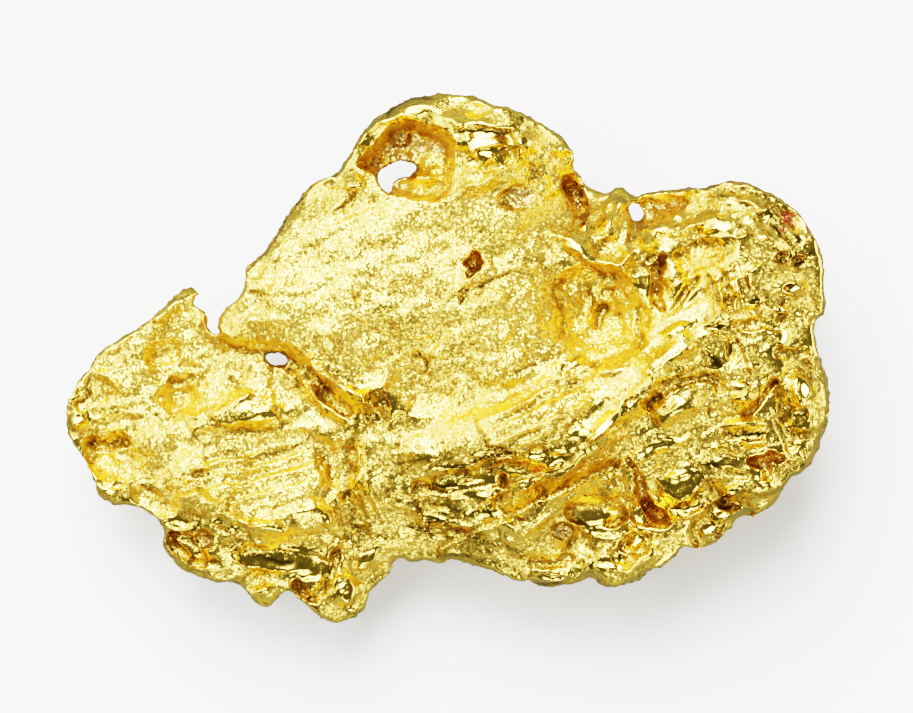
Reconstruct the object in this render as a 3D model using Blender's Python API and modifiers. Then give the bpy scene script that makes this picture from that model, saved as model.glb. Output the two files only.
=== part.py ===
"""A gold nugget, one solid piece of native metal, lying on its flattest side.

Lengths in the tables are millimetres. Across the nugget they are measured from its middle, +X along
its length and +Y across it, and heights are measured up from the surface that it lies on. The finished
mesh is in metres, with its origin on that surface, under the middle of the nugget's box.
"""
import math

import bmesh
import bpy
import numpy as np

MM = 0.001
NODE = "gold_nugget"

# how the solid is meshed
SLAB_HALF = 1.0
CAGE_VOXEL = 0.13
SKIN_VOXEL = 0.125
TRIANGLES = 9400

# how its rims turn over
RIM_RADIUS = 0.85
HOLE_RADIUS = 0.3
RIM_LEVEL = 0.42
THINNEST = 0.55

# how far the feet are worn flat, and the metal's own lumpiness: size of a lump and its height
FOOT_BAND = 0.05
LUMP_SIZE = 0.95
LUMP_HEIGHT = 0.10
GRIT_SIZE = 0.42
GRIT_HEIGHT = 0.045

# The outline, clockwise from the tip of the left arm, in eight runs.
ARM_TOP = [
    (-6.16, 1.62), (-6.35, 1.78), (-6.7, 1.72), (-7.3, 1.22), (-7.95, 0.7), (-8.55, 0.3), (-9.08, -0.25),
    (-9.5, -1.0), (-9.6, -1.6), (-9.45, -2.1), (-9.05, -2.7), (-8.8, -3.3),
]
LOWER_LEFT_BLOCK = [
    (-8.28, -3.7), (-7.7, -3.76), (-7.2, -4.15), (-7.16, -4.72), (-6.6, -5.3), (-5.8, -5.65), (-5.25, -5.66),
    (-4.85, -6.17), (-4.35, -6.15), (-3.95, -5.84), (-3.55, -6.2), (-2.75, -6.68), (-2.22, -6.5),
    (-1.94, -5.98), (-1.46, -5.45), (-1.15, -5.02),
]
BOTTOM_LAYERS = [
    (-0.9, -5.15), (-0.2, -5.08), (0.4, -5.12), (1.2, -5.36), (1.8, -5.6), (2.65, -5.78), (3.38, -5.6),
    (3.6, -5.5), (4.15, -5.75), (4.88, -5.56), (5.4, -5.25), (5.95, -4.76),
]
LOWER_RIGHT = [
    (6.7, -4.62), (7.28, -4.06), (8.0, -3.8), (8.5, -3.2), (9.15, -2.6), (9.5, -1.8), (9.6, -1.05),
    (9.38, 0.0), (9.2, 0.72),
]
RIGHT_LOBE = [
    (9.42, 1.15), (9.46, 2.0), (9.25, 3.0), (8.7, 3.76), (8.0, 4.2), (7.05, 4.48), (6.1, 4.33),
    (4.95, 4.18),
]
TOP_NOTCH = [(4.75, 4.1), (4.42, 4.28), (3.98, 4.2), (3.5, 4.36), (3.2, 4.82), (3.1, 5.32)]
ARCH_RIM = [
    (2.5, 5.85), (1.6, 6.28), (0.5, 6.6), (-0.4, 6.67), (-1.2, 6.44), (-1.92, 5.93), (-2.44, 5.2),
    (-2.78, 4.7), (-3.4, 4.45),
]
FLAP_EDGE = [
    (-3.82, 3.95), (-4.4, 3.0), (-5.05, 2.25), (-5.16, 1.75), (-5.58, 1.3), (-5.76, 0.9), (-5.84, 0.68),
    (-5.97, 0.85), (-6.06, 1.25),
]
OUTLINE = (
    ARM_TOP + LOWER_LEFT_BLOCK + BOTTOM_LAYERS + LOWER_RIGHT + RIGHT_LOBE + TOP_NOTCH + ARCH_RIM + FLAP_EDGE
)

# The gaps that go right through.
ARCH_HOLE = [(-1.75, 4.55), (-1.5, 4.85), (-1.05, 4.98), (-0.7, 4.8), (-1.0, 4.5), (-1.4, 4.1)]
ARM_GAP = [(-4.9, 0.08), (-4.5, 0.25), (-3.95, 0.2), (-3.95, -0.05), (-4.3, -0.25), (-4.7, -0.12)]
HOLES = [ARCH_HOLE, ARM_GAP]

# Heights of the upper face at places across it: x, y, height.
LEFT_ARM_LEVELS = [
    (-9.3, -1.5, 2.4), (-8.8, -0.5, 2.6), (-8.0, 0.2, 2.8), (-7.1, 1.0, 2.8), (-6.4, 1.4, 2.6),
    (-8.0, -1.0, 2.8), (-7.0, 0.0, 2.7), (-6.1, 0.3, 2.6), (-6.8, -0.9, 2.6), (-5.0, -0.8, 2.8),
    (-8.4, -2.5, 2.3), (-8.4, -3.2, 2.1), (-7.3, -2.5, 3.0), (-6.0, -2.5, 3.2), (-4.5, -2.6, 3.2),
    (-3.6, -2.4, 3.2),
]
BLOCK_LEVELS = [
    (-6.5, -3.6, 3.3), (-5.0, -3.8, 3.5), (-3.6, -3.7, 3.5), (-3.2, -4.3, 3.3), (-7.5, -3.6, 2.4),
    (-6.3, -4.7, 2.4), (-4.8, -5.0, 2.3), (-3.5, -5.3, 2.0), (-4.7, -5.9, 1.6), (-2.6, -5.7, 2.2),
    (-1.9, -5.2, 2.2), (-2.4, -4.9, 2.6),
]
PLATE_LEVELS = [
    (-5.3, 1.1, 3.4), (-4.8, 1.9, 3.5), (-4.2, 2.6, 3.6), (-3.5, 3.7, 3.6), (-3.0, 2.5, 4.0),
    (-3.0, 1.2, 4.1), (-2.0, 3.5, 4.1), (-1.0, 2.5, 4.3), (-1.0, 1.0, 4.3), (-2.2, 0.2, 4.0),
    (-1.2, -0.8, 3.8), (0.0, -1.0, 3.9), (0.0, 0.5, 4.3), (1.5, 1.2, 4.6), (1.2, -0.3, 4.3),
    (0.8, -1.8, 4.3), (-0.5, -2.2, 3.9), (2.2, -1.6, 4.7), (-1.8, -2.6, 3.3), (-1.2, -3.3, 3.1),
    (1.0, 2.8, 4.3), (0.5, 3.7, 4.3), (2.0, 3.5, 4.3), (2.8, 2.6, 4.0),
]
ARCH_LEVELS = [
    (-2.2, 5.2, 3.3), (-1.4, 6.0, 3.5), (0.0, 6.2, 3.6), (0.8, 5.4, 4.3), (1.3, 4.6, 4.4),
    (2.0, 5.4, 4.0), (2.8, 5.1, 3.5), (3.1, 4.2, 3.1), (4.1, 3.7, 3.4), (5.2, 3.8, 3.1),
]
RIGHT_LEVELS = [
    (3.4, 1.4, 3.8), (3.5, 0.4, 3.9), (4.2, 0.8, 3.8), (5.3, 2.9, 4.0), (6.0, 2.0, 4.2), (6.8, 3.4, 4.6),
    (7.5, 2.5, 4.9), (8.5, 2.0, 4.5), (9.1, 1.6, 3.7), (8.6, 3.2, 3.8), (7.3, 4.0, 3.9), (7.0, 1.6, 4.8),
    (6.5, 0.3, 4.9), (5.0, -0.3, 5.0), (8.0, 0.5, 4.7), (7.5, -0.3, 4.6), (9.0, 0.5, 3.6),
    (8.8, -1.0, 4.3), (9.3, -1.6, 3.4), (8.7, -2.3, 3.6), (6.0, -1.2, 4.8), (4.0, -1.6, 5.0),
    (3.3, -2.6, 4.7), (5.8, -2.4, 4.4), (7.2, -2.3, 4.0),
]
FRONT_LEVELS = [
    (7.6, -3.2, 3.3), (6.2, -3.5, 3.4), (4.0, -3.1, 4.2), (3.7, -3.9, 3.1), (4.6, -4.3, 3.0),
    (2.0, -3.4, 3.8), (0.4, -3.4, 3.5), (1.0, -4.6, 2.3), (0.0, -4.6, 1.9), (2.5, -5.0, 2.1),
    (4.0, -5.1, 2.0), (5.5, -4.8, 1.9), (6.7, -4.2, 2.4), (8.0, -3.4, 2.6),
]
UPPER_LEVELS = LEFT_ARM_LEVELS + BLOCK_LEVELS + PLATE_LEVELS + ARCH_LEVELS + RIGHT_LEVELS + FRONT_LEVELS

# Heights of the under face; the three feet reach below the surface and are cut off flat there.
LEFT_FOOT = (-6.2, -2.4)
TOP_FOOT = (0.9, 4.2)
RIGHT_FOOT = (7.2, 0.0)
FRONT_FOOT = (2.8, -3.4)
FOOT_DEPTH = -0.3
FEET = [LEFT_FOOT, TOP_FOOT, RIGHT_FOOT, FRONT_FOOT]
LOWER_LEVELS = [
    (-9.0, -1.5, 1.3), (-7.6, 0.5, 1.3), (-6.2, 1.2, 1.5), (-8.2, -3.2, 1.2), (-4.6, -4.4, 1.1),
    (-4.0, -5.8, 0.8), (-2.5, -6.0, 0.9), (-4.2, -0.4, 1.2), (-3.0, 2.6, 1.4), (-4.8, 1.8, 1.9),
    (-2.0, 5.4, 1.6), (0.0, 6.1, 1.7), (2.6, 5.4, 1.5), (-1.0, 0.5, 0.9), (-1.2, -2.2, 1.0),
    (-0.5, -4.6, 1.0), (1.8, 1.0, 0.7), (4.4, 3.6, 1.5), (4.6, 0.4, 0.7), (6.8, 3.6, 1.4),
    (8.9, 2.2, 1.5), (9.0, -1.5, 1.3), (6.8, -3.7, 1.1), (4.4, -5.2, 0.9), (2.4, -5.4, 0.9),
    (4.8, -1.8, 0.7),
]

# Ledges: the points of the edge, the rise from its right side to its left, and how far back that fades.
LEDGES = [
    # the plate's shoulder over the left arm, from the flap down to the rolled finger
    ([(-5.75, 0.95), (-5.5, 0.5), (-5.0, 0.28), (-4.4, 0.25), (-3.8, 0.1), (-3.3, -0.5), (-2.6, -1.2),
      (-2.1, -1.6)], 0.7, 1.3),
    # the scarp of the arm's upper plate over the striated lower one
    ([(-3.45, -1.25), (-3.9, -1.65), (-4.3, -1.8), (-5.0, -1.92), (-5.65, -1.7), (-6.05, -1.4),
      (-6.15, -0.65)], -0.3, 0.7),
    # the striated plate's right scarp, down to the trough
    ([(-3.25, -2.1), (-3.0, -2.9), (-3.2, -3.4), (-2.75, -4.0), (-2.7, -4.7)], -0.7, 0.9),
    # the step from the plate's lower left over the trough
    ([(-2.2, -1.7), (-2.2, -2.5), (-2.1, -3.3), (-1.75, -4.2)], 0.6, 0.8),
    # the front scarp of the plate
    ([(-1.5, -3.3), (-0.6, -2.9), (0.3, -2.85), (1.2, -2.5), (2.3, -2.5), (3.0, -2.9)], 0.55, 0.8),
    # the long pale ledge in front of it
    ([(-1.4, -3.9), (-0.3, -4.15), (0.9, -4.3), (1.7, -4.5), (2.5, -4.0), (3.1, -4.1), (3.9, -4.5),
      (4.5, -4.5)], 0.5, 0.7),
    # the fronts of the lower left block
    ([(-7.0, -4.0), (-6.0, -3.95), (-5.3, -4.4), (-4.2, -4.7), (-3.3, -4.9)], 0.6, 0.8),
    # the basin's left wall, from the raised lobe down
    ([(2.9, 0.2), (2.6, 0.7), (2.35, 1.5), (2.4, 1.95), (2.1, 2.15), (1.4, 2.1)], 0.4, 0.8),
    # the ledge right of the plate's middle
    ([(0.7, -0.98), (1.4, -0.85), (2.0, -0.6), (2.6, -0.4), (3.4, -0.3)], 0.25, 0.8),
    # the right body's long step
    ([(6.4, 0.9), (7.0, 0.95), (7.8, 1.1), (8.6, 0.8)], 0.4, 0.8),
    # the upper lobe's plate over the orange pockets
    ([(5.5, 2.95), (6.2, 3.05), (6.9, 3.0), (7.3, 2.6)], 0.45, 0.7),
]

# Ridges and rope-like folds: the points of the crest, its half width and its height.
RIDGES = [
    # the arch's tube and the folds on its crown
    ([(-2.35, 5.0), (-2.0, 5.75), (-1.2, 6.2), (-0.4, 6.25), (0.2, 5.7), (0.4, 5.0)], 0.45, 0.35),
    ([(0.0, 5.9), (0.8, 5.9), (1.6, 5.85), (1.85, 5.4), (2.4, 5.2)], 0.35, 0.2),
    ([(0.3, 4.25), (0.8, 4.35), (1.4, 4.55)], 0.3, 0.35),
    ([(2.4, 5.3), (2.6, 4.6), (2.8, 4.0)], 0.25, 0.2),
    # the rope ridge beside the notch, with its knob, and the tongue below it
    ([(2.75, 3.15), (3.2, 2.95), (3.5, 2.6), (3.9, 2.4), (4.35, 2.4), (4.8, 2.8)], 0.42, 0.5),
    ([(4.2, 2.1), (4.7, 1.6), (5.1, 1.1)], 0.3, 0.35),
    ([(4.9, 3.1), (5.45, 3.3), (6.1, 3.35), (6.9, 3.6)], 0.3, 0.3),
    ([(4.35, 4.1), (4.1, 3.6), (4.0, 2.9)], 0.35, 0.35),
    # the bands of the upper lobe
    ([(6.4, 3.95), (7.2, 4.05), (7.9, 3.75), (8.2, 3.3)], 0.3, 0.25),
    ([(6.6, 2.1), (6.9, 1.2)], 0.25, 0.2),
    ([(7.05, 2.2), (7.3, 1.4)], 0.25, 0.2),
    # the diagonal blade and its second fold
    ([(3.3, -2.2), (3.9, -1.8), (4.6, -1.15), (5.1, -0.6), (5.5, 0.0), (6.1, 0.5)], 0.4, 0.45),
    ([(4.7, -0.4), (5.2, 0.15), (5.7, 0.5), (6.1, 0.75)], 0.25, 0.2),
    # folds of the right body
    ([(7.3, -2.05), (8.0, -2.05)], 0.25, 0.25),
    ([(4.4, -2.4), (4.6, -2.9), (4.6, -3.6)], 0.3, 0.3),
    ([(2.4, -3.3), (2.9, -2.95), (3.5, -2.4)], 0.25, 0.2),
    ([(5.2, -4.5), (5.1, -4.9), (4.5, -5.3)], 0.3, 0.3),
    ([(5.4, -3.85), (6.0, -3.9), (6.6, -3.6)], 0.25, 0.25),
    # the rolled finger and the strip beside it
    ([(-3.8, 0.05), (-3.2, -0.35), (-2.6, -0.65), (-2.1, -1.0), (-1.85, -1.45)], 0.4, 0.5),
    ([(-3.8, -0.35), (-3.3, -1.0), (-2.5, -1.6)], 0.25, 0.25),
    # the left arm's folds and the rolled lip of the block
    ([(-8.95, -0.4), (-8.5, -0.4), (-8.15, -0.9)], 0.25, 0.2),
    ([(-6.2, 1.4), (-6.8, 1.35), (-7.4, 0.8)], 0.3, 0.2),
    ([(-7.0, -3.55), (-6.2, -3.5), (-5.7, -3.85), (-4.8, -4.2), (-3.6, -4.3)], 0.35, 0.3),
    ([(-8.9, -2.6), (-8.6, -3.3), (-8.2, -3.5)], 0.28, 0.3),
    ([(-1.5, -3.6), (-0.6, -3.9), (0.2, -4.1), (1.3, -4.35)], 0.25, 0.2),
]

# Lumps: centre x and y, half length, half width, turn in degrees, height.
LUMPS = [
    (-0.4, 4.5, 0.55, 0.4, 10, 0.3), (2.1, 5.4, 0.4, 0.35, 0, 0.3), (2.95, 5.2, 0.25, 0.2, 40, 0.2),
    (2.75, 3.15, 0.3, 0.3, 0, 0.25), (5.0, 2.85, 0.3, 0.3, 0, 0.4), (5.65, 2.0, 0.4, 0.55, 10, 0.3),
    (8.6, 1.75, 0.45, 0.3, 10, 0.25), (8.4, 1.2, 0.3, 0.2, 0, 0.2), (5.7, 0.72, 0.5, 0.22, 20, 0.25),
    (5.75, -1.15, 0.8, 0.5, 25, 0.35), (7.4, -1.0, 0.4, 0.25, 10, 0.25), (7.4, -1.65, 0.6, 0.25, 5, 0.3),
    (8.9, -1.05, 0.48, 0.9, 12, 0.6), (8.0, -3.25, 0.45, 0.28, 10, 0.35), (7.15, -3.3, 0.4, 0.22, 20, 0.25),
    (5.95, -3.2, 0.65, 0.65, 0, 0.5), (4.75, -4.6, 0.3, 0.22, 20, 0.2), (4.0, -0.25, 0.5, 0.22, 10, 0.2),
    (1.9, -3.4, 0.55, 0.5, 0, 0.35), (2.6, -5.4, 0.6, 0.3, 5, 0.25), (2.85, -4.5, 0.35, 0.25, 0, 0.2),
    (-1.75, -1.25, 0.28, 0.4, 10, 0.25), (-3.4, -0.75, 0.3, 0.2, -40, 0.2), (-9.2, -1.55, 0.3, 0.35, 0, 0.25),
    (-4.6, -5.8, 0.5, 0.32, 10, 0.3), (-2.55, -5.75, 0.5, 0.5, 0, 0.3), (-1.95, -5.1, 0.4, 0.3, 20, 0.25),
    (-2.3, 4.4, 0.35, 0.3, 20, 0.2), (7.0, -3.95, 0.45, 0.3, 0, 0.25),
]

# Hollows with steep walls: the closed outline, the depth and the width of the wall.
ARCH_CAVITY = [
    (-2.3, 4.9), (-1.6, 5.6), (-0.9, 5.95), (-0.2, 5.65), (0.15, 5.1), (0.1, 4.3), (-0.6, 3.95), (-1.6, 4.1),
]
NOTCH_HOLLOW = [(3.0, 4.6), (3.5, 4.2), (3.6, 3.5), (3.3, 3.4), (3.0, 3.9), (2.85, 4.3)]
LOBE_RECESS = [(4.75, 3.95), (5.5, 4.1), (6.0, 4.0), (5.7, 3.65), (5.2, 3.4), (4.9, 3.3), (4.6, 3.0), (4.5, 3.4)]
BASIN = [(2.75, 0.6), (2.6, 1.5), (3.0, 2.2), (3.6, 2.0), (4.4, 1.8), (4.7, 1.2), (4.6, 0.3), (3.9, 0.1), (3.2, 0.2)]
LOBE_CREVICE = [(5.5, 2.6), (5.15, 2.4), (5.1, 1.9), (5.25, 1.3), (5.45, 1.3), (5.3, 1.9), (5.4, 2.3)]
STAR_PIT = [(0.35, 2.4), (0.65, 2.7), (0.95, 2.4), (0.85, 2.1), (0.55, 2.0)]
SIDE_CREVICE = [
    (4.35, -2.3), (4.6, -2.45), (4.9, -2.9), (5.0, -3.4), (5.5, -3.85), (5.4, -4.1), (4.9, -3.9), (4.7, -3.2),
]
RIGHT_CRACK = [(7.0, -1.5), (7.4, -1.45), (7.75, -1.3), (8.0, -0.9), (8.25, -0.6), (8.1, -0.5), (7.8, -1.0), (7.4, -1.25)]
LOWER_RIGHT_HOLLOW = [(7.5, -2.7), (8.0, -2.3), (8.45, -2.5), (8.3, -2.85), (7.9, -2.95)]
BLOCK_POCKET = [(-6.5, -4.5), (-6.1, -4.25), (-5.75, -4.5), (-5.9, -4.9), (-6.3, -4.9)]
HOLLOWS = [
    (ARCH_CAVITY, 1.1, 0.5), (NOTCH_HOLLOW, 0.6, 0.3), (LOBE_RECESS, 0.5, 0.35), (BASIN, 0.5, 0.5),
    (LOBE_CREVICE, 0.6, 0.2), (STAR_PIT, 1.2, 0.2), (SIDE_CREVICE, 1.1, 0.25), (RIGHT_CRACK, 0.6, 0.18),
    (LOWER_RIGHT_HOLLOW, 0.7, 0.3), (BLOCK_POCKET, 0.4, 0.2),
]

# Creases: their points, half width and depth.
CREASES = [
    ([(-1.7, 6.05), (-0.9, 6.45), (-0.3, 6.5)], 0.2, 0.15),
    ([(0.1, 5.6), (0.9, 5.65), (1.5, 5.6), (1.7, 5.1)], 0.2, 0.2),
    ([(-6.95, -0.5), (-6.75, -0.6), (-6.3, -0.42)], 0.2, 0.2),
    ([(-0.8, 0.2), (-0.55, -0.1), (-0.75, -0.45)], 0.18, 0.15),
    ([(-2.6, -2.0), (-2.5, -2.7), (-2.55, -3.4), (-2.35, -4.2), (-1.9, -4.6)], 0.35, 0.4),
    ([(-3.95, -0.15), (-3.6, -0.35), (-3.0, -0.95), (-2.3, -1.5)], 0.2, 0.35),
    ([(5.65, -0.7), (6.2, -0.5), (6.7, -0.55), (6.85, -0.95)], 0.2, 0.25),
    ([(4.9, -1.25), (5.4, -0.95)], 0.2, 0.3),
    ([(6.8, -1.9), (7.4, -1.95), (8.0, -1.85)], 0.18, 0.2),
    ([(6.5, -3.0), (6.9, -3.55), (7.4, -3.7)], 0.25, 0.3),
    ([(1.2, -3.2), (1.35, -3.8), (2.0, -4.0), (2.5, -3.5)], 0.2, 0.25),
    ([(2.0, -5.1), (2.6, -5.1), (3.2, -4.9)], 0.2, 0.2),
    ([(-7.0, -4.4), (-6.5, -4.9), (-5.6, -5.2)], 0.2, 0.2),
    ([(-3.9, -5.5), (-3.4, -5.9), (-2.95, -5.3), (-2.7, -4.7)], 0.22, 0.3),
    ([(-8.95, -2.05), (-8.2, -2.1), (-7.9, -2.0)], 0.25, 0.3),
    ([(7.9, 3.7), (8.5, 3.1), (8.9, 2.8)], 0.22, 0.2),
    ([(8.1, 2.5), (8.6, 2.45), (9.1, 2.65)], 0.2, 0.2),
    ([(8.15, 0.2), (8.6, 0.1), (9.0, 0.2)], 0.25, 0.25),
]

# Dents with gentle sides: centre x and y, half length, half width, turn in degrees, depth.
DENTS = [
    (-7.1, 0.15, 0.55, 0.35, 20, 0.25), (-6.7, -0.95, 0.55, 0.45, 0, 0.25), (-4.8, 1.3, 0.5, 0.4, 0, 0.15),
    (3.8, -3.85, 0.75, 0.35, 0, 0.3), (0.45, -3.25, 0.4, 0.25, 0, 0.2), (1.4, -3.0, 0.3, 0.2, 0, 0.25),
    (-0.2, -4.45, 0.4, 0.22, 0, 0.2), (0.7, 6.2, 0.45, 0.2, 0, 0.15), (-8.0, -1.6, 0.6, 0.4, 0, 0.15),
    (6.5, 2.75, 0.35, 0.25, 0, 0.2), (1.7, 4.0, 0.45, 0.25, 20, 0.2), (8.7, 3.4, 0.35, 0.25, -40, 0.2),
]

# the metal's finish
GOLD_COLOUR = (0.83, 0.60, 0.14, 1.0)
GOLD_ROUGHNESS = 0.33


def smooth_loop(points, steps=4):
    """A closed Catmull-Rom curve through points, as an array of (x, y)."""
    b = np.array(points, float)
    a, c, d = np.roll(b, 1, 0), np.roll(b, -1, 0), np.roll(b, -2, 0)
    return cubic_spans(a, b, c, d, steps)


def smooth_line(points, steps=4):
    """An open Catmull-Rom curve through points, as an array of (x, y)."""
    p = np.array(points, float)
    p = np.vstack([2 * p[0] - p[1], p, 2 * p[-1] - p[-2]])
    curve = cubic_spans(p[:-3], p[1:-2], p[2:-1], p[3:], steps)
    return np.vstack([curve, p[-2]])


def cubic_spans(a, b, c, d, steps):
    """The Catmull-Rom spans from each b to its c, cut into steps."""
    t = (np.arange(steps) / steps)[None, :, None]
    a, b, c, d = (q[:, None, :] for q in (a, b, c, d))
    linear = (c - a) * t
    square = (2 * a - 5 * b + 4 * c - d) * t**2
    cube = (3 * b - a - 3 * c + d) * t**3
    return (b + 0.5 * (linear + square + cube)).reshape(-1, 2)


def nearest_on(place, curve, closed=False):
    """For each place: the way to the nearest point of the curve, the side of it (+1 left) and the share
    of the curve's length that lies before that point."""
    ends = np.roll(curve, -1, 0) if closed else curve[1:]
    starts = curve if closed else curve[:-1]
    reach = np.full(len(place), np.inf)
    way = np.zeros_like(place)
    side = np.ones(len(place))
    share = np.zeros(len(place))
    total = np.hypot(*(ends - starts).T).sum()
    run = 0.0
    for start, end in zip(starts, ends):
        length = math.hypot(*(end - start))
        along = (end - start) / max(length, 1e-9)
        offset = place - start
        t = np.clip(offset @ along, 0.0, length)
        gap = t[:, None] * along - offset
        distance = np.hypot(*gap.T)
        closer = distance < reach
        reach = np.where(closer, distance, reach)
        way = np.where(closer[:, None], gap, way)
        turn = along[0] * offset[:, 1] - along[1] * offset[:, 0]
        side = np.where(closer, np.where(turn < 0, -1.0, 1.0), side)
        share = np.where(closer, (run + t) / total, share)
        run += length
    return way, reach, side, share


def inside(place, loop):
    """True where a place is inside the closed loop."""
    crossings = np.zeros(len(place), int)
    x, y = place.T
    for (ax, ay), (bx, by) in zip(loop, np.roll(loop, -1, 0)):
        if ay != by:
            spans = (ay > y) != (by > y)
            crossings += spans & (x < (bx - ax) * (y - ay) / (by - ay) + ax)
    return crossings % 2 == 1


def smooth_step(t):
    """0 to 1 with level ends, for t from 0 to 1."""
    t = np.clip(t, 0.0, 1.0)
    return t * t * (3 - 2 * t)


def through_levels(place, levels):
    """A thin-plate surface through levels, each (x, y, height), read at place."""
    table = np.array(levels, float)
    knots, heights = table[:, :2], table[:, 2]
    count = len(table)
    plane = np.column_stack([np.ones(count), knots])
    system = np.zeros((count + 3, count + 3))
    system[:count, :count] = plate_kernel(knots, knots) + 0.02 * np.eye(count)
    system[:count, count:] = plane
    system[count:, :count] = plane.T
    weights = np.linalg.solve(system, np.concatenate([heights, np.zeros(3)]))
    bend = plate_kernel(place, knots) @ weights[:count]
    return bend + np.column_stack([np.ones(len(place)), place]) @ weights[count:]


def plate_kernel(a, b):
    """The thin plate's r squared log r between two sets of points."""
    square = ((a[:, None, :] - b[None, :, :]) ** 2).sum(2) + 1e-9
    return 0.5 * square * np.log(square)


def end_fade(share, at_ends=0.14):
    """1 along a line, falling to 0 at its two ends."""
    return smooth_step(share / at_ends) * smooth_step((1 - share) / at_ends)


def oval_radius(place, x, y, length, width, turn):
    """Distance from an oval's centre, 1 at its edge."""
    c, s = math.cos(math.radians(turn)), math.sin(math.radians(turn))
    dx, dy = place[:, 0] - x, place[:, 1] - y
    return np.hypot((dx * c + dy * s) / length, (dy * c - dx * s) / width)


def relief(place):
    """The height that ledges, ridges, lumps, hollows, creases and dents add to the upper face."""
    height = np.zeros(len(place))
    for points, rise, reach in LEDGES:
        _, distance, side, share = nearest_on(place, smooth_line(points))
        drop = smooth_step(distance / 0.22) * np.exp(-(distance / reach) ** 2)
        height += 0.5 * rise * side * drop * end_fade(share)
    for points, width, crest in RIDGES:
        _, distance, _, share = nearest_on(place, smooth_line(points))
        height += crest * dome(distance / width) * end_fade(share)
    for x, y, length, width, turn, crest in LUMPS:
        height += crest * dome(oval_radius(place, x, y, length, width, turn))
    for x, y, length, width, turn, depth in DENTS:
        height -= depth * smooth_step(1.15 - oval_radius(place, x, y, length, width, turn))
    for points, width, depth in CREASES:
        _, distance, _, share = nearest_on(place, smooth_line(points))
        height -= depth * np.clip(1 - distance / width, 0, 1) * end_fade(share)
    for loop, depth, wall in HOLLOWS:
        loop = smooth_loop(loop)
        _, distance, _, _ = nearest_on(place, loop, closed=True)
        height -= depth * smooth_step(distance / wall) * inside(place, loop)
    return height


def dome(radius):
    """A round crown: 1 at radius 0, down to 0 at radius 1 with a steep edge."""
    return np.clip(1 - radius**2, 0, 1) ** 0.7


def cell_noise(points, size, seed):
    """Smooth noise from about -1 to 1, with lumps of a size, from a hash of each lattice corner."""
    scaled = points / size
    corner = np.floor(scaled)
    part = scaled - corner
    corner = corner.astype(np.int64)
    ease = part**3 * (part * (part * 6 - 15) + 10)
    total = np.zeros(len(points))
    for step in np.ndindex(2, 2, 2):
        at = corner + step
        mix = at[:, 0] * 374761393 + at[:, 1] * 668265263 + at[:, 2] * 1274126177 + seed * 974634777
        mix = ((mix & 0xFFFFFFFF) ^ ((mix & 0xFFFFFFFF) >> 13)) * 1274126177 & 0xFFFFFFFF
        mix = mix ^ (mix >> 16)
        slope = np.column_stack([mix & 1023, (mix >> 10) & 1023, (mix >> 20) & 1023]) / 511.5 - 1
        weight = np.prod(np.where(np.array(step) == 1, ease, 1 - ease), axis=1)
        total += weight * (slope * (part - step)).sum(1)
    return 1.4 * total


def slab_cage():
    """The outline with its holes as a flat slab, remeshed into small even cells."""
    curve = bpy.data.curves.new("outline", "CURVE")
    curve.dimensions = "2D"
    curve.fill_mode = "BOTH"
    curve.extrude = SLAB_HALF
    for loop in [OUTLINE] + HOLES:
        places = smooth_loop(loop)
        spline = curve.splines.new("POLY")
        spline.points.add(len(places) - 1)
        flat = np.column_stack([places, np.zeros(len(places)), np.ones(len(places))])
        spline.points.foreach_set("co", flat.ravel())
        spline.use_cyclic_u = True
    slab = bpy.data.objects.new("outline", curve)
    bpy.context.scene.collection.objects.link(slab)
    mesh = evaluated_mesh(slab)
    bpy.data.objects.remove(slab)
    bpy.data.curves.remove(curve)
    weld(mesh, 0.001)
    return remeshed(mesh, CAGE_VOXEL)


def evaluated_mesh(obj):
    """A plain mesh of the object with its modifiers applied."""
    bpy.context.view_layer.update()
    graph = bpy.context.evaluated_depsgraph_get()
    return bpy.data.meshes.new_from_object(obj.evaluated_get(graph))


def weld(mesh, distance):
    """Join the mesh's points that are closer than distance."""
    work = bmesh.new()
    work.from_mesh(mesh)
    bmesh.ops.remove_doubles(work, verts=work.verts, dist=distance)
    bmesh.ops.recalc_face_normals(work, faces=work.faces)
    work.to_mesh(mesh)
    work.free()


def remeshed(mesh, voxel):
    """The mesh after a voxel Remesh."""
    obj = bpy.data.objects.new("remesh", mesh)
    bpy.context.scene.collection.objects.link(obj)
    modifier = obj.modifiers.new("Remesh", "REMESH")
    modifier.mode = "VOXEL"
    modifier.voxel_size = voxel
    result = evaluated_mesh(obj)
    bpy.data.objects.remove(obj)
    bpy.data.meshes.remove(mesh)
    return result


def decimated(mesh, triangles):
    """The mesh brought down to a number of triangles by collapsing its shortest-lived edges."""
    mesh.calc_loop_triangles()
    obj = bpy.data.objects.new("decimate", mesh)
    bpy.context.scene.collection.objects.link(obj)
    modifier = obj.modifiers.new("Decimate", "DECIMATE")
    modifier.ratio = triangles / len(mesh.loop_triangles)
    modifier.use_collapse_triangulate = True
    result = evaluated_mesh(obj)
    bpy.data.objects.remove(obj)
    bpy.data.meshes.remove(mesh)
    return result


def read_points(mesh):
    """The mesh's points as an array."""
    points = np.empty(len(mesh.vertices) * 3, np.float32)
    mesh.vertices.foreach_get("co", points)
    return points.reshape(-1, 3).astype(float)


def write_points(mesh, points):
    """Put the array back as the mesh's points."""
    mesh.vertices.foreach_set("co", points.astype(np.float32).ravel())
    mesh.update()


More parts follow.
